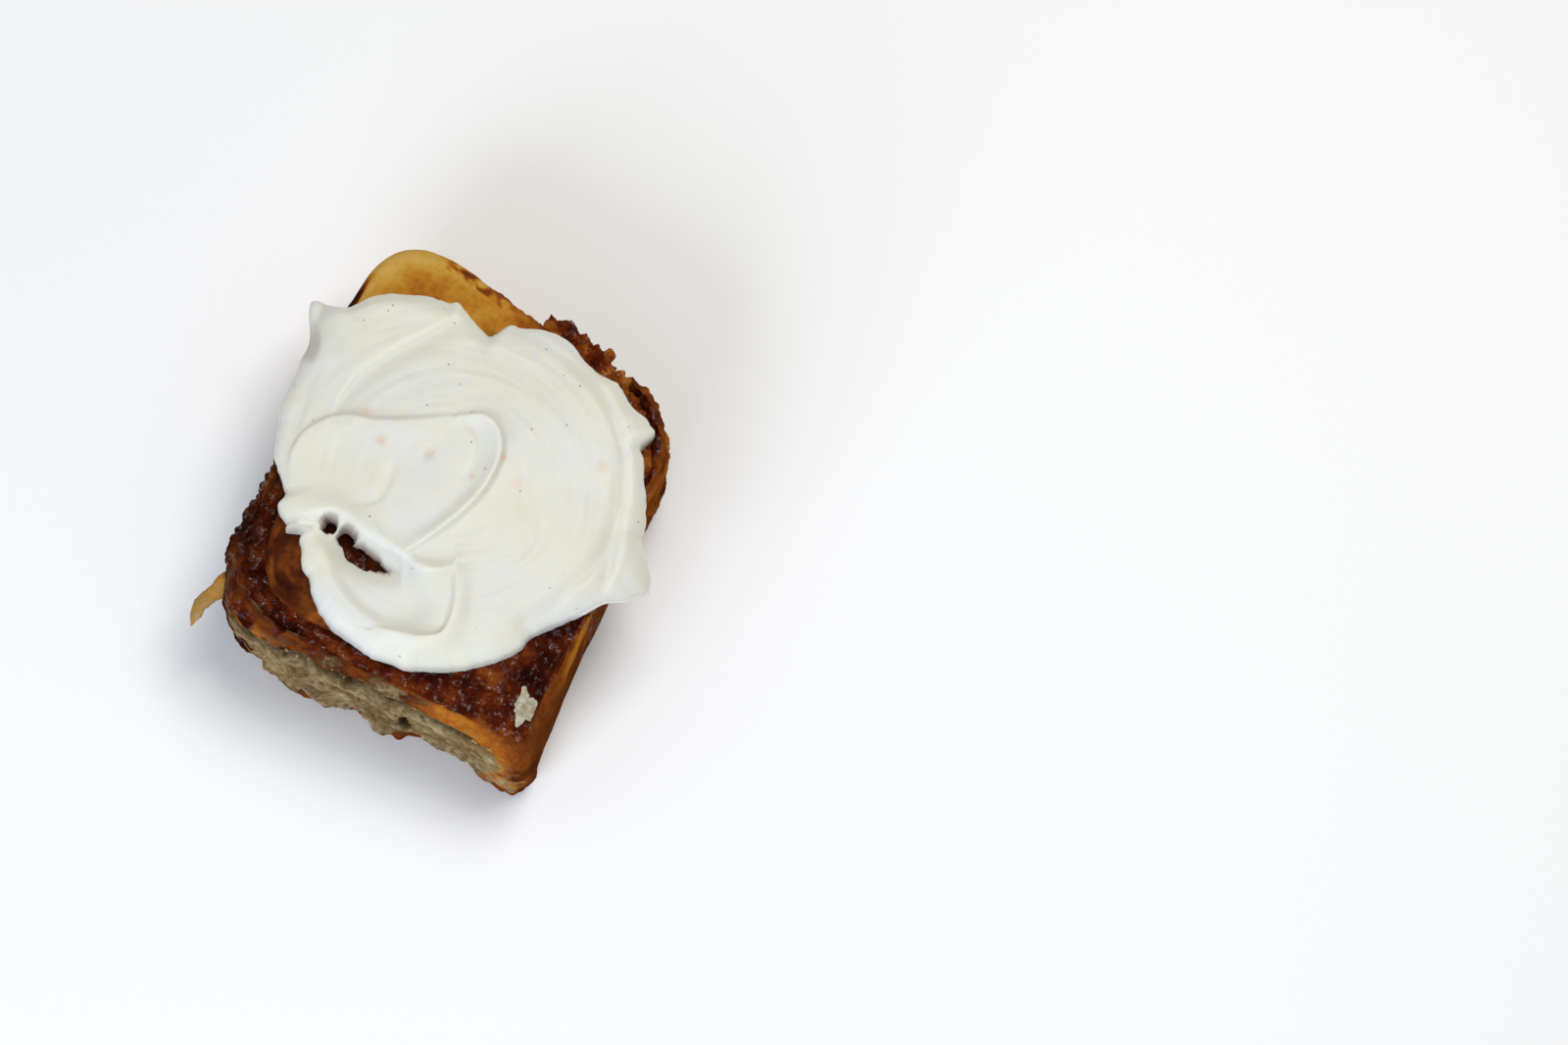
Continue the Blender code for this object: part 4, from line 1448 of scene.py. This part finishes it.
@dataclass(frozen=True)
class Stroke:
    """One spatula mark: a line on the frosting, steep on its left side and gentle on its right."""

    path: tuple
    height: float
    steep: float
    gentle: float
    kind: StrokeKind = StrokeKind.RIDGE

    def line(self) -> Array:
        """The path as a smooth curve: four points at a time, joined so that its slope never jumps.

        Returns:
            Points in metres, shape (count, 2).
        """
        marks = np.array(self.path) * MM
        padded = np.concatenate([2.0 * marks[:1] - marks[1:2], marks, 2.0 * marks[-1:] - marks[-2:-1]])
        share = np.linspace(0.0, 1.0, 6, endpoint=False)[:, None]
        curve = []
        for first, start, end, last in zip(padded, padded[1:], padded[2:], padded[3:]):
            bend = 2.0 * first - 5.0 * start + 4.0 * end - last
            twist = 3.0 * (start - end) + last - first
            curve.append(start + 0.5 * share * (end - first + share * (bend + share * twist)))
        return np.concatenate([*curve, marks[-1:]])

    def lift(self, across: Array, along: Array) -> Array:
        """The height that the mark adds.

        Args:
            across: x in the coil's frame.
            along: y in the coil's frame.

        Returns:
            Metres: a bell of unequal sides across the line, which fades at both ends.
        """
        curve = self.line()
        nearest = np.full(across.shape, 1.0)
        side = np.zeros_like(across)
        place = np.zeros_like(across)
        count = len(curve) - 1
        for number, (start, end) in enumerate(zip(curve[:-1], curve[1:])):
            way = end - start
            length = float(np.hypot(*way)) + 1e-12
            gone = ((across - start[0]) * way[0] + (along - start[1]) * way[1]) / length**2
            held = np.clip(gone, 0.0, 1.0)
            off_x = across - start[0] - held * way[0]
            off_y = along - start[1] - held * way[1]
            away = np.hypot(off_x, off_y)
            closer = away < nearest
            nearest = np.where(closer, away, nearest)
            side = np.where(closer, way[0] * off_y - way[1] * off_x, side)
            place = np.where(closer, (number + held) / count, place)
        width = np.where(side > 0.0, self.steep, self.gentle)
        ends = np.sqrt(np.clip(np.sin(math.pi * np.clip(place, 0.02, 0.98)), 0.0, 1.0))
        return self.kind.value * self.height * ends * np.exp(-((nearest / width) ** 2))


# The middle lines of the spatula marks, in millimetres from the coil's middle.
FLAP_TOP = (
    (-32.0, -19.3), (-35.4, -12.9), (-36.1, -7.6), (-34.4, -2.5), (-30.0, 2.2), (-23.0, 4.6), (-15.1, 9.1),
    (-8.4, 13.8),
)
CREST = (
    (-6.5, 15.4), (-1.4, 17.9), (3.0, 16.2), (6.2, 11.5), (7.2, 3.4), (5.6, -5.0), (2.2, -13.5),
    (-1.8, -20.7),
)
CREST_INSIDE = ((-5.6, 14.2), (-1.7, 14.0), (1.2, 11.2), (2.4, 7.0), (1.6, 2.5))
FLAP_LOW = (
    (-27.3, -23.1), (-22.8, -19.6), (-19.5, -18.2), (-15.0, -18.8), (-10.0, -20.3), (-4.9, -20.6),
    (-1.4, -20.4),
)
PEAK_RIDGE = ((-2.4, -21.0), (2.6, -21.5), (6.1, -20.8), (8.6, -19.4), (10.4, -16.7))
SCOOP_LIP = (
    (10.4, -16.2), (12.9, -20.0), (14.9, -24.0), (16.2, -28.3), (16.0, -32.6), (12.0, -35.6), (6.5, -37.2),
    (2.4, -38.6),
)
RIGHT_GROOVE = (
    (-1.9, 41.4), (10.7, 40.4), (19.5, 37.0), (26.3, 31.2), (31.6, 24.2), (35.8, 15.2), (37.4, 6.6),
    (37.0, -1.3), (35.0, -8.9), (33.3, -16.2), (28.0, -25.0),
)
UPPER_CREASE = (
    (-32.0, 2.3), (-32.2, 8.4), (-31.0, 14.6), (-28.0, 21.0), (-23.6, 28.4), (-20.2, 34.1), (-18.9, 37.7),
)
TOP_BAND = ((-47.3, 20.8), (-44.2, 24.4), (-40.0, 28.4), (-35.3, 31.6), (-30.3, 34.1), (-24.7, 36.1))
FLAP_ARC = ((-14.2, -1.0), (-12.6, -6.3), (-12.6, -11.2), (-15.9, -15.0))
RIGHT_ARC = ((11.9, 11.5), (18.0, 5.3), (22.5, -1.3), (22.0, -11.2))
HOLE_BASIN = ((-22.5, -22.8), (-18.0, -23.2), (-13.0, -24.4), (-8.0, -24.9), (-3.0, -24.0), (0.5, -22.4))
LIP_CREASE = ((37.5, 12.0), (39.5, 5.5), (41.4, -1.5), (42.8, -8.0))
LEFT_LIP = ((-41.5, 12.0), (-40.4, 4.0), (-38.5, -4.0), (-36.0, -12.0))


@dataclass
class Frosting:
    """The layer of frosting: rings of points from its middle out over the rim and back underneath."""

    coil: Coil
    grain: Grain
    radius: float = 42.0 * MM
    edge_places: tuple = (
        (5.0, 6.8 * MM, 9.0),
        (24.0, 2.1 * MM, 12.0),
        (38.0, 1.3 * MM, 7.0),
        (50.0, 5.8 * MM, 7.5),
        (64.0, 3.9 * MM, 8.0),
        (86.0, 4.1 * MM, 11.0),
        (109.0, -2.4 * MM, 6.0),
        (121.0, 2.1 * MM, 8.0),
        (141.0, 9.3 * MM, 17.0),
        (154.0, 7.2 * MM, 5.0),
        (162.0, 4.3 * MM, 10.0),
        (177.0, 2.6 * MM, 11.0),
        (210.0, -4.2 * MM, 10.0),
        (216.0, 1.6 * MM, 3.5),
        (230.0, -5.2 * MM, 11.0),
        (245.0, -1.9 * MM, 8.0),
        (283.0, 1.2 * MM, 15.0),
        (332.0, -3.3 * MM, 11.0),
    )
    # Small tabs and nicks that only the looks have: (direction, how far out, spread).
    tabs: tuple = (
        (47.5, 1.6 * MM, 1.6),
        (44.0, -1.2 * MM, 1.8),
        (213.5, 1.0 * MM, 2.2),
        (223.5, 1.4 * MM, 1.3),
        (226.5, -1.4 * MM, 1.5),
        (152.5, 2.0 * MM, 2.2),
        (101.0, 0.9 * MM, 2.0),
        (106.5, -1.4 * MM, 2.2),
        (118.0, 1.2 * MM, 1.6),
        (-2.0, 1.0 * MM, 2.5),
        (3.0, 0.8 * MM, 2.0),
    )
    gap: float = 0.5 * MM
    # How thick the frosting layer is.
    thickness_and_painted_shade: float = 5.2 * MM
    rounding: float = 7.0 * MM
    lip: float = 1.5 * MM
    droop: tuple = (3.6 * MM, 1.4 * MM, 9.0 * MM)
    cling: float = 2.0 * MM
    spokes: int = 560
    inner_rings: int = 92
    round_rings: int = 34
    rim_rings: int = 8
    under_rings: int = 24
    strokes: tuple = (
        Stroke(FLAP_TOP, 1.4 * MM, 0.6 * MM, 6.0 * MM),
        Stroke(CREST, 2.0 * MM, 0.6 * MM, 2.0 * MM),
        Stroke(CREST_INSIDE, 0.5 * MM, 1.2 * MM, 1.0 * MM, StrokeKind.GROOVE),
        Stroke(FLAP_LOW, 1.0 * MM, 3.0 * MM, 1.0 * MM),
        Stroke(PEAK_RIDGE, 1.7 * MM, 2.0 * MM, 0.8 * MM),
        Stroke(SCOOP_LIP, 2.0 * MM, 3.2 * MM, 0.8 * MM),
        Stroke(RIGHT_GROOVE, 0.9 * MM, 1.3 * MM, 2.2 * MM, StrokeKind.GROOVE),
        Stroke(UPPER_CREASE, 1.2 * MM, 0.8 * MM, 3.2 * MM, StrokeKind.GROOVE),
        Stroke(TOP_BAND, 0.6 * MM, 1.6 * MM, 2.6 * MM),
        Stroke(FLAP_ARC, 0.45 * MM, 0.8 * MM, 2.4 * MM, StrokeKind.GROOVE),
        Stroke(RIGHT_ARC, 0.4 * MM, 0.9 * MM, 4.0 * MM, StrokeKind.GROOVE),
        Stroke(LEFT_LIP, 0.6 * MM, 1.2 * MM, 2.5 * MM, StrokeKind.GROOVE),
        Stroke(HOLE_BASIN, 4.3 * MM, 2.0 * MM, 3.6 * MM, StrokeKind.GROOVE),
        Stroke(LIP_CREASE, 1.1 * MM, 1.0 * MM, 2.2 * MM, StrokeKind.GROOVE),
    )
    # Hollows, and openings where the filling shows: (x, y, half-length, half-width, turn).
    scoop: tuple = (-2.5 * MM, -28.5 * MM, 16.0 * MM, 8.5 * MM, -14.0)
    scoop_depth: float = 1.8 * MM
    pit: tuple = (-8.2 * MM, 3.9 * MM, 1.0 * MM, 1.7 * MM, 0.0)
    pit_depth: float = 0.7 * MM
    holes: tuple = (
        (-19.6 * MM, -21.6 * MM, 1.6 * MM, 1.6 * MM, 0.0),
        (-14.9 * MM, -22.1 * MM, 2.0 * MM, 1.6 * MM, -20.0),
        (-9.3 * MM, -23.8 * MM, 5.2 * MM, 1.3 * MM, -3.0),
    )
    # Stains: (x, y, radius, strength).
    stains: tuple = (
        (-25.8 * MM, 6.0 * MM, 1.1 * MM, 0.45),
        (-19.2 * MM, 1.0 * MM, 1.2 * MM, 0.65),
        (7.2 * MM, 11.4 * MM, 0.8 * MM, 0.6),
        (3.2 * MM, 3.5 * MM, 0.7 * MM, 0.6),
        (27.2 * MM, 21.4 * MM, 1.3 * MM, 0.45),
        (12.9 * MM, 7.8 * MM, 1.6 * MM, 0.25),
        (-8.2 * MM, 3.9 * MM, 1.3 * MM, 0.4),
    )
    # Where the edge is too thin to hide what lies under it: (direction, spread, strength, how far in, fade).
    thin_places: tuple = ((224.5, 2.2, 0.7, 3.5 * MM, 1.5 * MM), (107.0, 3.0, 0.45, 2.0 * MM, 2.0 * MM))

    def edge(self, angle: Array) -> Array:
        """How far the frosting reaches.

        Args:
            angle: directions in degrees.

        Returns:
            Radii in metres.
        """
        around = np.radians(angle)
        spots = np.stack([np.cos(around), np.sin(around), 0.0 * around], axis=-1) * 45.0 * MM
        amount = 0.45 * MM + 0.5 * MM * bump(angle, *BELLS.ragged_frosting)
        fine = self.grain.layered(spots, 4.0 * MM, 3) * amount
        return self.radius + total_bump(angle, self.edge_places) + total_bump(angle, self.tabs) + fine

    def underside(self, angle: Array, radius: Array) -> Array:
        """The underside: just above the crowns, drooping past the rounded rim.

        Args:
            angle: directions in degrees.
            radius: distances from the centre.

        Returns:
            Heights in metres.
        """
        width, _ = self.coil.outer_edge(((self.coil.tip_angle - angle) / 360.0) % 1.0)
        past = np.maximum(0.0, radius - (self.coil.outline(angle) - width + self.droop[1]))
        sag = self.droop[0] * np.minimum(past / self.droop[2], 1.0) ** 2
        return self.coil.top_height(angle, radius) + self.gap - sag

    def opening(self, across: Array, along: Array) -> Array:
        """How open the frosting is near the holes.

        Args:
            across: x in the coil's frame.
            along: y in the coil's frame.

        Returns:
            Distance from the nearest hole's middle, where 1 is its edge.
        """
        nearest = np.full(across.shape, 9.0)
        for hole in self.holes:
            nearest = np.minimum(nearest, from_ellipse(across, along, hole))
        return nearest

    def top(self, across: Array, along: Array) -> Array:
        """What the spatula left on the top: strokes, a scoop and slow waves.

        Args:
            across: x in the coil's frame.
            along: y in the coil's frame.

        Returns:
            Metres.
        """
        lift = sum(stroke.lift(across, along) for stroke in self.strokes)
        lift = lift - self.scoop_depth * smooth((1.05 - from_ellipse(across, along, self.scoop)) / 0.45)
        spots = np.stack([across, along, 0.0 * across], axis=-1)
        slow = 0.35 * MM * self.grain.layered(spots, 18.0 * MM, 3)
        away, around = np.hypot(across, along), np.arctan2(along, across)
        drawn = np.stack([away, 3.0 * MM * around, 0.0 * away], axis=-1)
        outside = smooth((away - 9.0 * MM) / (8.0 * MM))
        slow = slow + 0.1 * MM * self.grain.layered(drawn, 1.7 * MM, 3) * outside
        pit = self.pit_depth * np.exp(-(from_ellipse(across, along, self.pit) ** 2))
        return lift + slow - pit

    def masks(self, angle: Array, past: Array, across: Array, along: Array, near: Array) -> dict[str, Array]:
        """Where the upper side is thin, where it is stained, and where filling soaked into it.

        Args:
            angle: directions in degrees.
            past: how far points are past the edge, below 0 inside it.
            across: x in the coil's frame.
            along: y in the coil's frame.
            near: distance from the nearest opening, where 1 is its edge.

        Returns:
            Masks from 0 to 1 by name.
        """
        thin = 0.75 * band(angle, *ARCS.thin_frosting) * smooth((past + 5.0 * MM) / (2.4 * MM))
        for centre, spread, strength, far, fade in self.thin_places:
            thin = thin + strength * bump(angle, centre, spread) * smooth((past + far) / fade)
        thin = np.clip(np.maximum(thin, 0.55 * smooth((1.9 - near) / 0.8)), 0.0, 1.0)
        stain = np.zeros_like(past)
        for x, y, size, strength in self.stains:
            apart_squared = (across - x) ** 2 + (along - y) ** 2
            stain = np.maximum(stain, strength * np.exp(-(apart_squared / size**2)))
        return {"thin": thin, "stain": stain, "soaked": 0.75 * smooth((1.38 - near) / 0.4)}

    def build(self, finish: bpy.types.Material) -> bpy.types.Object:
        """Builds the layer as one closed surface.

        Args:
            finish: the frosting.

        Returns:
            The frosting.
        """
        angle = np.linspace(0.0, 360.0, self.spokes, endpoint=False)[None]
        edge = self.edge(angle)
        inside = edge - self.rounding
        shares = np.linspace(0.0, 1.0, self.inner_rings + 1)[1:-1, None]
        swing = np.linspace(0.0, 0.5 * math.pi, self.round_rings)[:, None]
        radius = np.concatenate([shares * inside, inside + self.rounding * np.sin(swing)])
        full = np.concatenate([np.ones_like(shares), np.cos(swing)]) * np.ones_like(angle)
        under = self.underside(angle, radius)
        spots = self.coil.place(angle, radius, under)
        across = spots[..., 0] - self.coil.centre[0]
        along = spots[..., 1] - self.coil.centre[1]
        inward = np.minimum((edge - radius) / self.rounding, 1.0)
        marks = self.top(across, along) * smooth(2.0 * inward)
        top = under + self.lip + (self.thickness_and_painted_shade - self.lip) * full + marks
        near = self.opening(across, along) + 0.25 * self.grain.layered(spots, 1.6 * MM)
        open_share = smooth((1.4 - near) / 0.6)
        top = top + (under - 1.6 * MM - top) * open_share
        upper = np.stack([spots[..., 0], spots[..., 1], top], axis=-1)
        overhang = smooth((radius[-1:] - self.coil.outline(angle) + 4.0 * MM) / (3.0 * MM))
        foot_drop = self.cling * (1.0 - overhang)
        turn_round = np.linspace(0.0, math.pi, self.rim_rings + 2)[1:-1, None]
        tall = self.lip + foot_drop
        rim_high = under[-1:] + self.lip - 0.5 * tall * (1.0 - np.cos(turn_round))
        bulge = (0.05 + 0.4 * overhang) * MM * np.sin(turn_round)
        rim = self.coil.place(angle, edge + bulge, under[-1:] + 0.0 * rim_high)
        rim[..., 2] = rim_high
        under_share = np.linspace(1.0, 0.04, self.under_rings)[:, None] ** 0.8
        low_radius = under_share * edge
        low = self.underside(angle, low_radius)
        lower = self.coil.place(angle, low_radius, low)
        sink = np.maximum(foot_drop * smooth((under_share - 0.86) / 0.1), 0.7 * MM * (1.0 - overhang))
        low_near = self.opening(lower[..., 0] - self.coil.centre[0], lower[..., 1] - self.coil.centre[1])
        lower[..., 2] -= sink + 2.2 * MM * smooth((2.6 - low_near) / 0.8)
        grid = np.concatenate([upper, rim, lower])
        masks = self.masks(angle, radius - edge, across, along, near)
        # The rim and the underside are as thin as the edge above them, and clean.
        clean = np.zeros((self.rim_rings + self.under_rings, self.spokes))
        below = {"thin": masks["thin"][-1:]}
        for name, values in masks.items():
            masks[name] = np.concatenate([values, clean + below.get(name, 0.0)])
        return make_piece("vanilla_frosting_layer", grid, finish, masks)


@dataclass
class Flake:
    """A scrap of bread crumb on the glaze: a ragged disc, slightly cupped, top and underside."""

    coil: Coil
    grain: Grain
    spot: tuple = (39.7 * MM, -35.7 * MM)
    length: float = 7.8 * MM
    width: float = 4.8 * MM
    thickness: float = 1.3 * MM
    turn: float = 112.0
    rest: float = 1.1 * MM
    rings: int = 22
    spokes: int = 96

    def build(self, finish: bpy.types.Material) -> bpy.types.Object:
        """Builds the scrap.

        Args:
            finish: the dry crumb.

        Returns:
            The scrap.
        """
        around = np.linspace(0.0, math.tau, self.spokes, endpoint=False)[None]
        swing = np.linspace(0.02, math.pi - 0.02, 2 * self.rings)[:, None]
        ragged = 1.0 + 0.16 * np.sin(3.0 * around) + 0.12 * np.sin(5.0 * around + 1.0)
        ring = np.stack([np.cos(around), np.sin(around), 0.0 * around], axis=-1) * 4.0 * MM
        ragged = ragged + 0.16 * self.grain.layered(ring, 1.4 * MM, 3)
        reach = np.sin(swing) ** 0.7 * ragged
        ahead = 0.5 * self.length * reach * np.cos(around)
        beside = 0.5 * self.width * reach * np.sin(around)
        angle = np.array([math.degrees(math.atan2(self.spot[1], self.spot[0])) % 360.0])
        base = float(self.coil.top_height(angle, np.array([math.hypot(*self.spot)]))[0]) - self.rest
        cosine, sine = math.cos(math.radians(self.turn)), math.sin(math.radians(self.turn))
        across = self.coil.centre[0] + self.spot[0] + ahead * cosine - beside * sine
        along = self.coil.centre[1] + self.spot[1] + ahead * sine + beside * cosine
        cup = 0.4 * np.sin(2.0 * around + 0.6) ** 2 * np.sin(swing)
        high = base + 0.5 * MM + self.thickness * (0.5 + 0.5 * np.cos(swing) + cup)
        grid = np.stack(np.broadcast_arrays(across, along, high), axis=-1)
        lift = self.grain.layered(grid, 1.2 * MM, 3) * 0.35 * MM
        grid = grid + outward(grid) * lift[..., None]
        return make_piece("bread_scrap", grid, finish)


@dataclass
class Crumbs:
    """Loose crumbs left along the torn and rough edges: small uneven balls, in one mesh."""

    coil: Coil
    grain: Grain
    # Where they lie: (direction, spread, how many, from this share of the outline, to that share).
    patches: tuple = (
        (306.0, 7.0, 12, 0.95, 0.99),
        (40.0, 22.0, 30, 0.95, 0.99),
        (262.0, 26.0, 12, 0.95, 0.985),
    )
    sizes: tuple = (0.18 * MM, 0.5 * MM)
    seed: int = 4

    def build(self, finish: bpy.types.Material) -> bpy.types.Object:
        """Scatters the crumbs on the dough's rim.

        Args:
            finish: the dry crumb.

        Returns:
            All crumbs as one piece.
        """
        rng = np.random.default_rng(self.seed)
        swing = np.linspace(0.05, math.pi - 0.05, 6)[:, None]
        around = np.linspace(0.0, math.tau, 8, endpoint=False)[None]
        wide = np.sin(swing)
        ball = np.stack([wide * np.cos(around), wide * np.sin(around), np.cos(swing) + 0.0 * around], axis=-1)
        quads, caps = face_loops(*ball.shape[:2])
        ball = np.concatenate([ball.reshape(-1, 3), [[0.0, 0.0, 1.0], [0.0, 0.0, -1.0]]])
        points, faces = [], []
        for centre, spread, count, low, high in self.patches:
            for _ in range(count):
                angle = np.array([centre + spread * float(rng.normal(0.0, 0.6))])
                outline = self.coil.outline(angle)
                radius = outline * rng.uniform(low, high)
                _, depth = self.coil.outer_edge(((self.coil.tip_angle - angle) / 360.0) % 1.0)
                width = self.coil.rim_shoulder[0]
                inside = np.clip((radius - outline + width) / width, 0.0, 1.0)
                drop = depth * (1.0 - np.sqrt(1.0 - inside**2))
                height = self.coil.top_height(angle, radius) - drop
                middle = self.coil.place(angle, radius, height)[0]
                size = rng.uniform(*self.sizes) * rng.uniform(0.7, 1.3, 3)
                one = ball * size * (1.0 + 0.25 * rng.uniform(-1.0, 1.0, (len(ball), 1)))
                first = len(points) * len(ball)
                faces += (quads[:, ::-1] + first).tolist() + (caps[:, ::-1] + first).tolist()
                points.append(one + middle)
        mesh = bpy.data.meshes.new("loose_crumbs")
        mesh.from_pydata(np.concatenate(points).tolist(), [], faces)
        mesh.update()
        mesh.shade_smooth()
        mesh.materials.append(finish)
        return put("loose_crumbs", mesh)


@dataclass(frozen=True)
class Lamp:
    """A soft box: where it is, how wide, how strong and its colour."""

    name: str
    place: tuple
    width: float
    power: float
    colour: str


@dataclass
class Studio:
    """The table, the soft light and the camera at the photograph's viewing angle."""

    azimuth: float = 30.0
    elevation: float = 70.0
    metres_per_pixel: float = 0.000225
    picture: tuple = (1600, 1066)
    aim: tuple = (0.0, 0.0, 34.0 * MM)
    aim_pixel: tuple = (455.6, 507.0)
    distance: float = 2.0
    lamps: tuple = (
        Lamp("overhead_soft_box", (0.16, 0.32, 0.95), 0.55, 6.1, "#fffdf9"),
        Lamp("window_fill", (-0.02, -0.96, 0.5), 0.6, 8.8, "#e3edff"),
    )
    sky: str = "#ffffff"
    sky_strength: float = 0.3
    table_half: float = 4.0
    sensor: float = 36.0

    def add_table(self, finish: bpy.types.Material) -> bpy.types.Object:
        """A wide plain floor.

        Args:
            finish: the table top.

        Returns:
            The floor.
        """
        half = self.table_half
        square = [(-half, -half, 0.0), (half, -half, 0.0), (half, half, 0.0), (-half, half, 0.0)]
        mesh = bpy.data.meshes.new("table_top")
        mesh.from_pydata(square, [], [(0, 1, 2, 3)])
        mesh.materials.append(finish)
        floor = put("table_top", mesh)
        return floor

    def add_light(self) -> None:
        """Hangs the soft boxes, each turned to the roll, and sets an even sky."""
        for lamp in self.lamps:
            light = bpy.data.lights.new(lamp.name, "AREA")
            light.shape = "SQUARE"
            light.size = lamp.width
            light.energy = lamp.power
            light.color = linear(lamp.colour)[:3]
            holder = put(lamp.name, light)
            holder.location = lamp.place
            holder.rotation_mode = "QUATERNION"
            holder.rotation_quaternion = (-Vector(lamp.place)).to_track_quat("-Z", "Y")
        world = bpy.data.worlds.new("even_sky")
        world.use_nodes = True
        sky = world.node_tree.nodes["Background"]
        sky.inputs["Color"].default_value = linear(self.sky)
        sky.inputs["Strength"].default_value = self.sky_strength
        bpy.context.scene.world = world
        bpy.context.scene.view_settings.view_transform = "Standard"

    def add_camera(self) -> None:
        """Sets a long lens so that the aim point lands on its pixel at the photograph's scale."""
        turn, rise = math.radians(self.azimuth), math.radians(self.elevation)
        right = Vector((math.cos(turn), math.sin(turn), 0.0))
        back = Vector((math.sin(turn) * math.cos(rise), -math.cos(turn) * math.cos(rise), math.sin(rise)))
        up = back.cross(right)
        focal = self.distance / self.metres_per_pixel
        towards = Vector(
            (self.aim_pixel[0] - 0.5 * self.picture[0], 0.5 * self.picture[1] - self.aim_pixel[1], -focal)
        ).normalized()
        base = Matrix((right, up, back)).transposed().to_quaternion()
        lens = bpy.data.cameras.new("photo_camera")
        lens.sensor_width = self.sensor
        lens.lens = self.sensor * focal / self.picture[0]
        lens.clip_start = 0.05
        lens.clip_end = 20.0
        camera = put("photo_camera", lens)
        camera.location = Vector(self.aim) + back * self.distance
        camera.rotation_mode = "QUATERNION"
        camera.rotation_quaternion = base @ towards.rotation_difference(Vector((0.0, 0.0, -1.0)))
        bpy.context.scene.camera = camera


def main() -> None:
    """Builds every piece on its CAD body, then the studio, and notes the sizes."""
    logging.basicConfig(level=logging.INFO, format="%(message)s")
    coil = Coil()
    dough_finish = BakedDough().build()
    crumb_finish = DryCrumb().build()
    plan = (
        (Dough(coil, Grain(11)), dough_finish, "baked_dough", ("dough",)),
        (Shred(coil, Grain(12)), dough_finish, "baked_dough", ("dough",)),
        (Filling(coil, Grain(13)), CinnamonCaramel().build(), "cinnamon_filling", ("cinnamon_filling",)),
        (Frosting(coil, Grain(14)), VanillaFrosting().build(), "vanilla_frosting", ("frosting",)),
        (Flake(coil, Grain(15)), crumb_finish, "bread_crumb", ("bread_flake",)),
        (Crumbs(coil, Grain(16)), TOASTED_CRUMB.build(), "bread_crumb", ()),
    )
    for maker, finish, slot, nodes in plan:
        piece = maker.build(finish)
        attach(piece, "root")
        if nodes:
            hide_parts(*nodes)
        LOG.info("%s: %d points, %d faces", piece.name, len(piece.data.vertices), len(piece.data.polygons))
    studio = Studio()
    studio.add_table(PaleTable().build())
    studio.add_light()
    studio.add_camera()


if __name__ == "__main__":
    main()
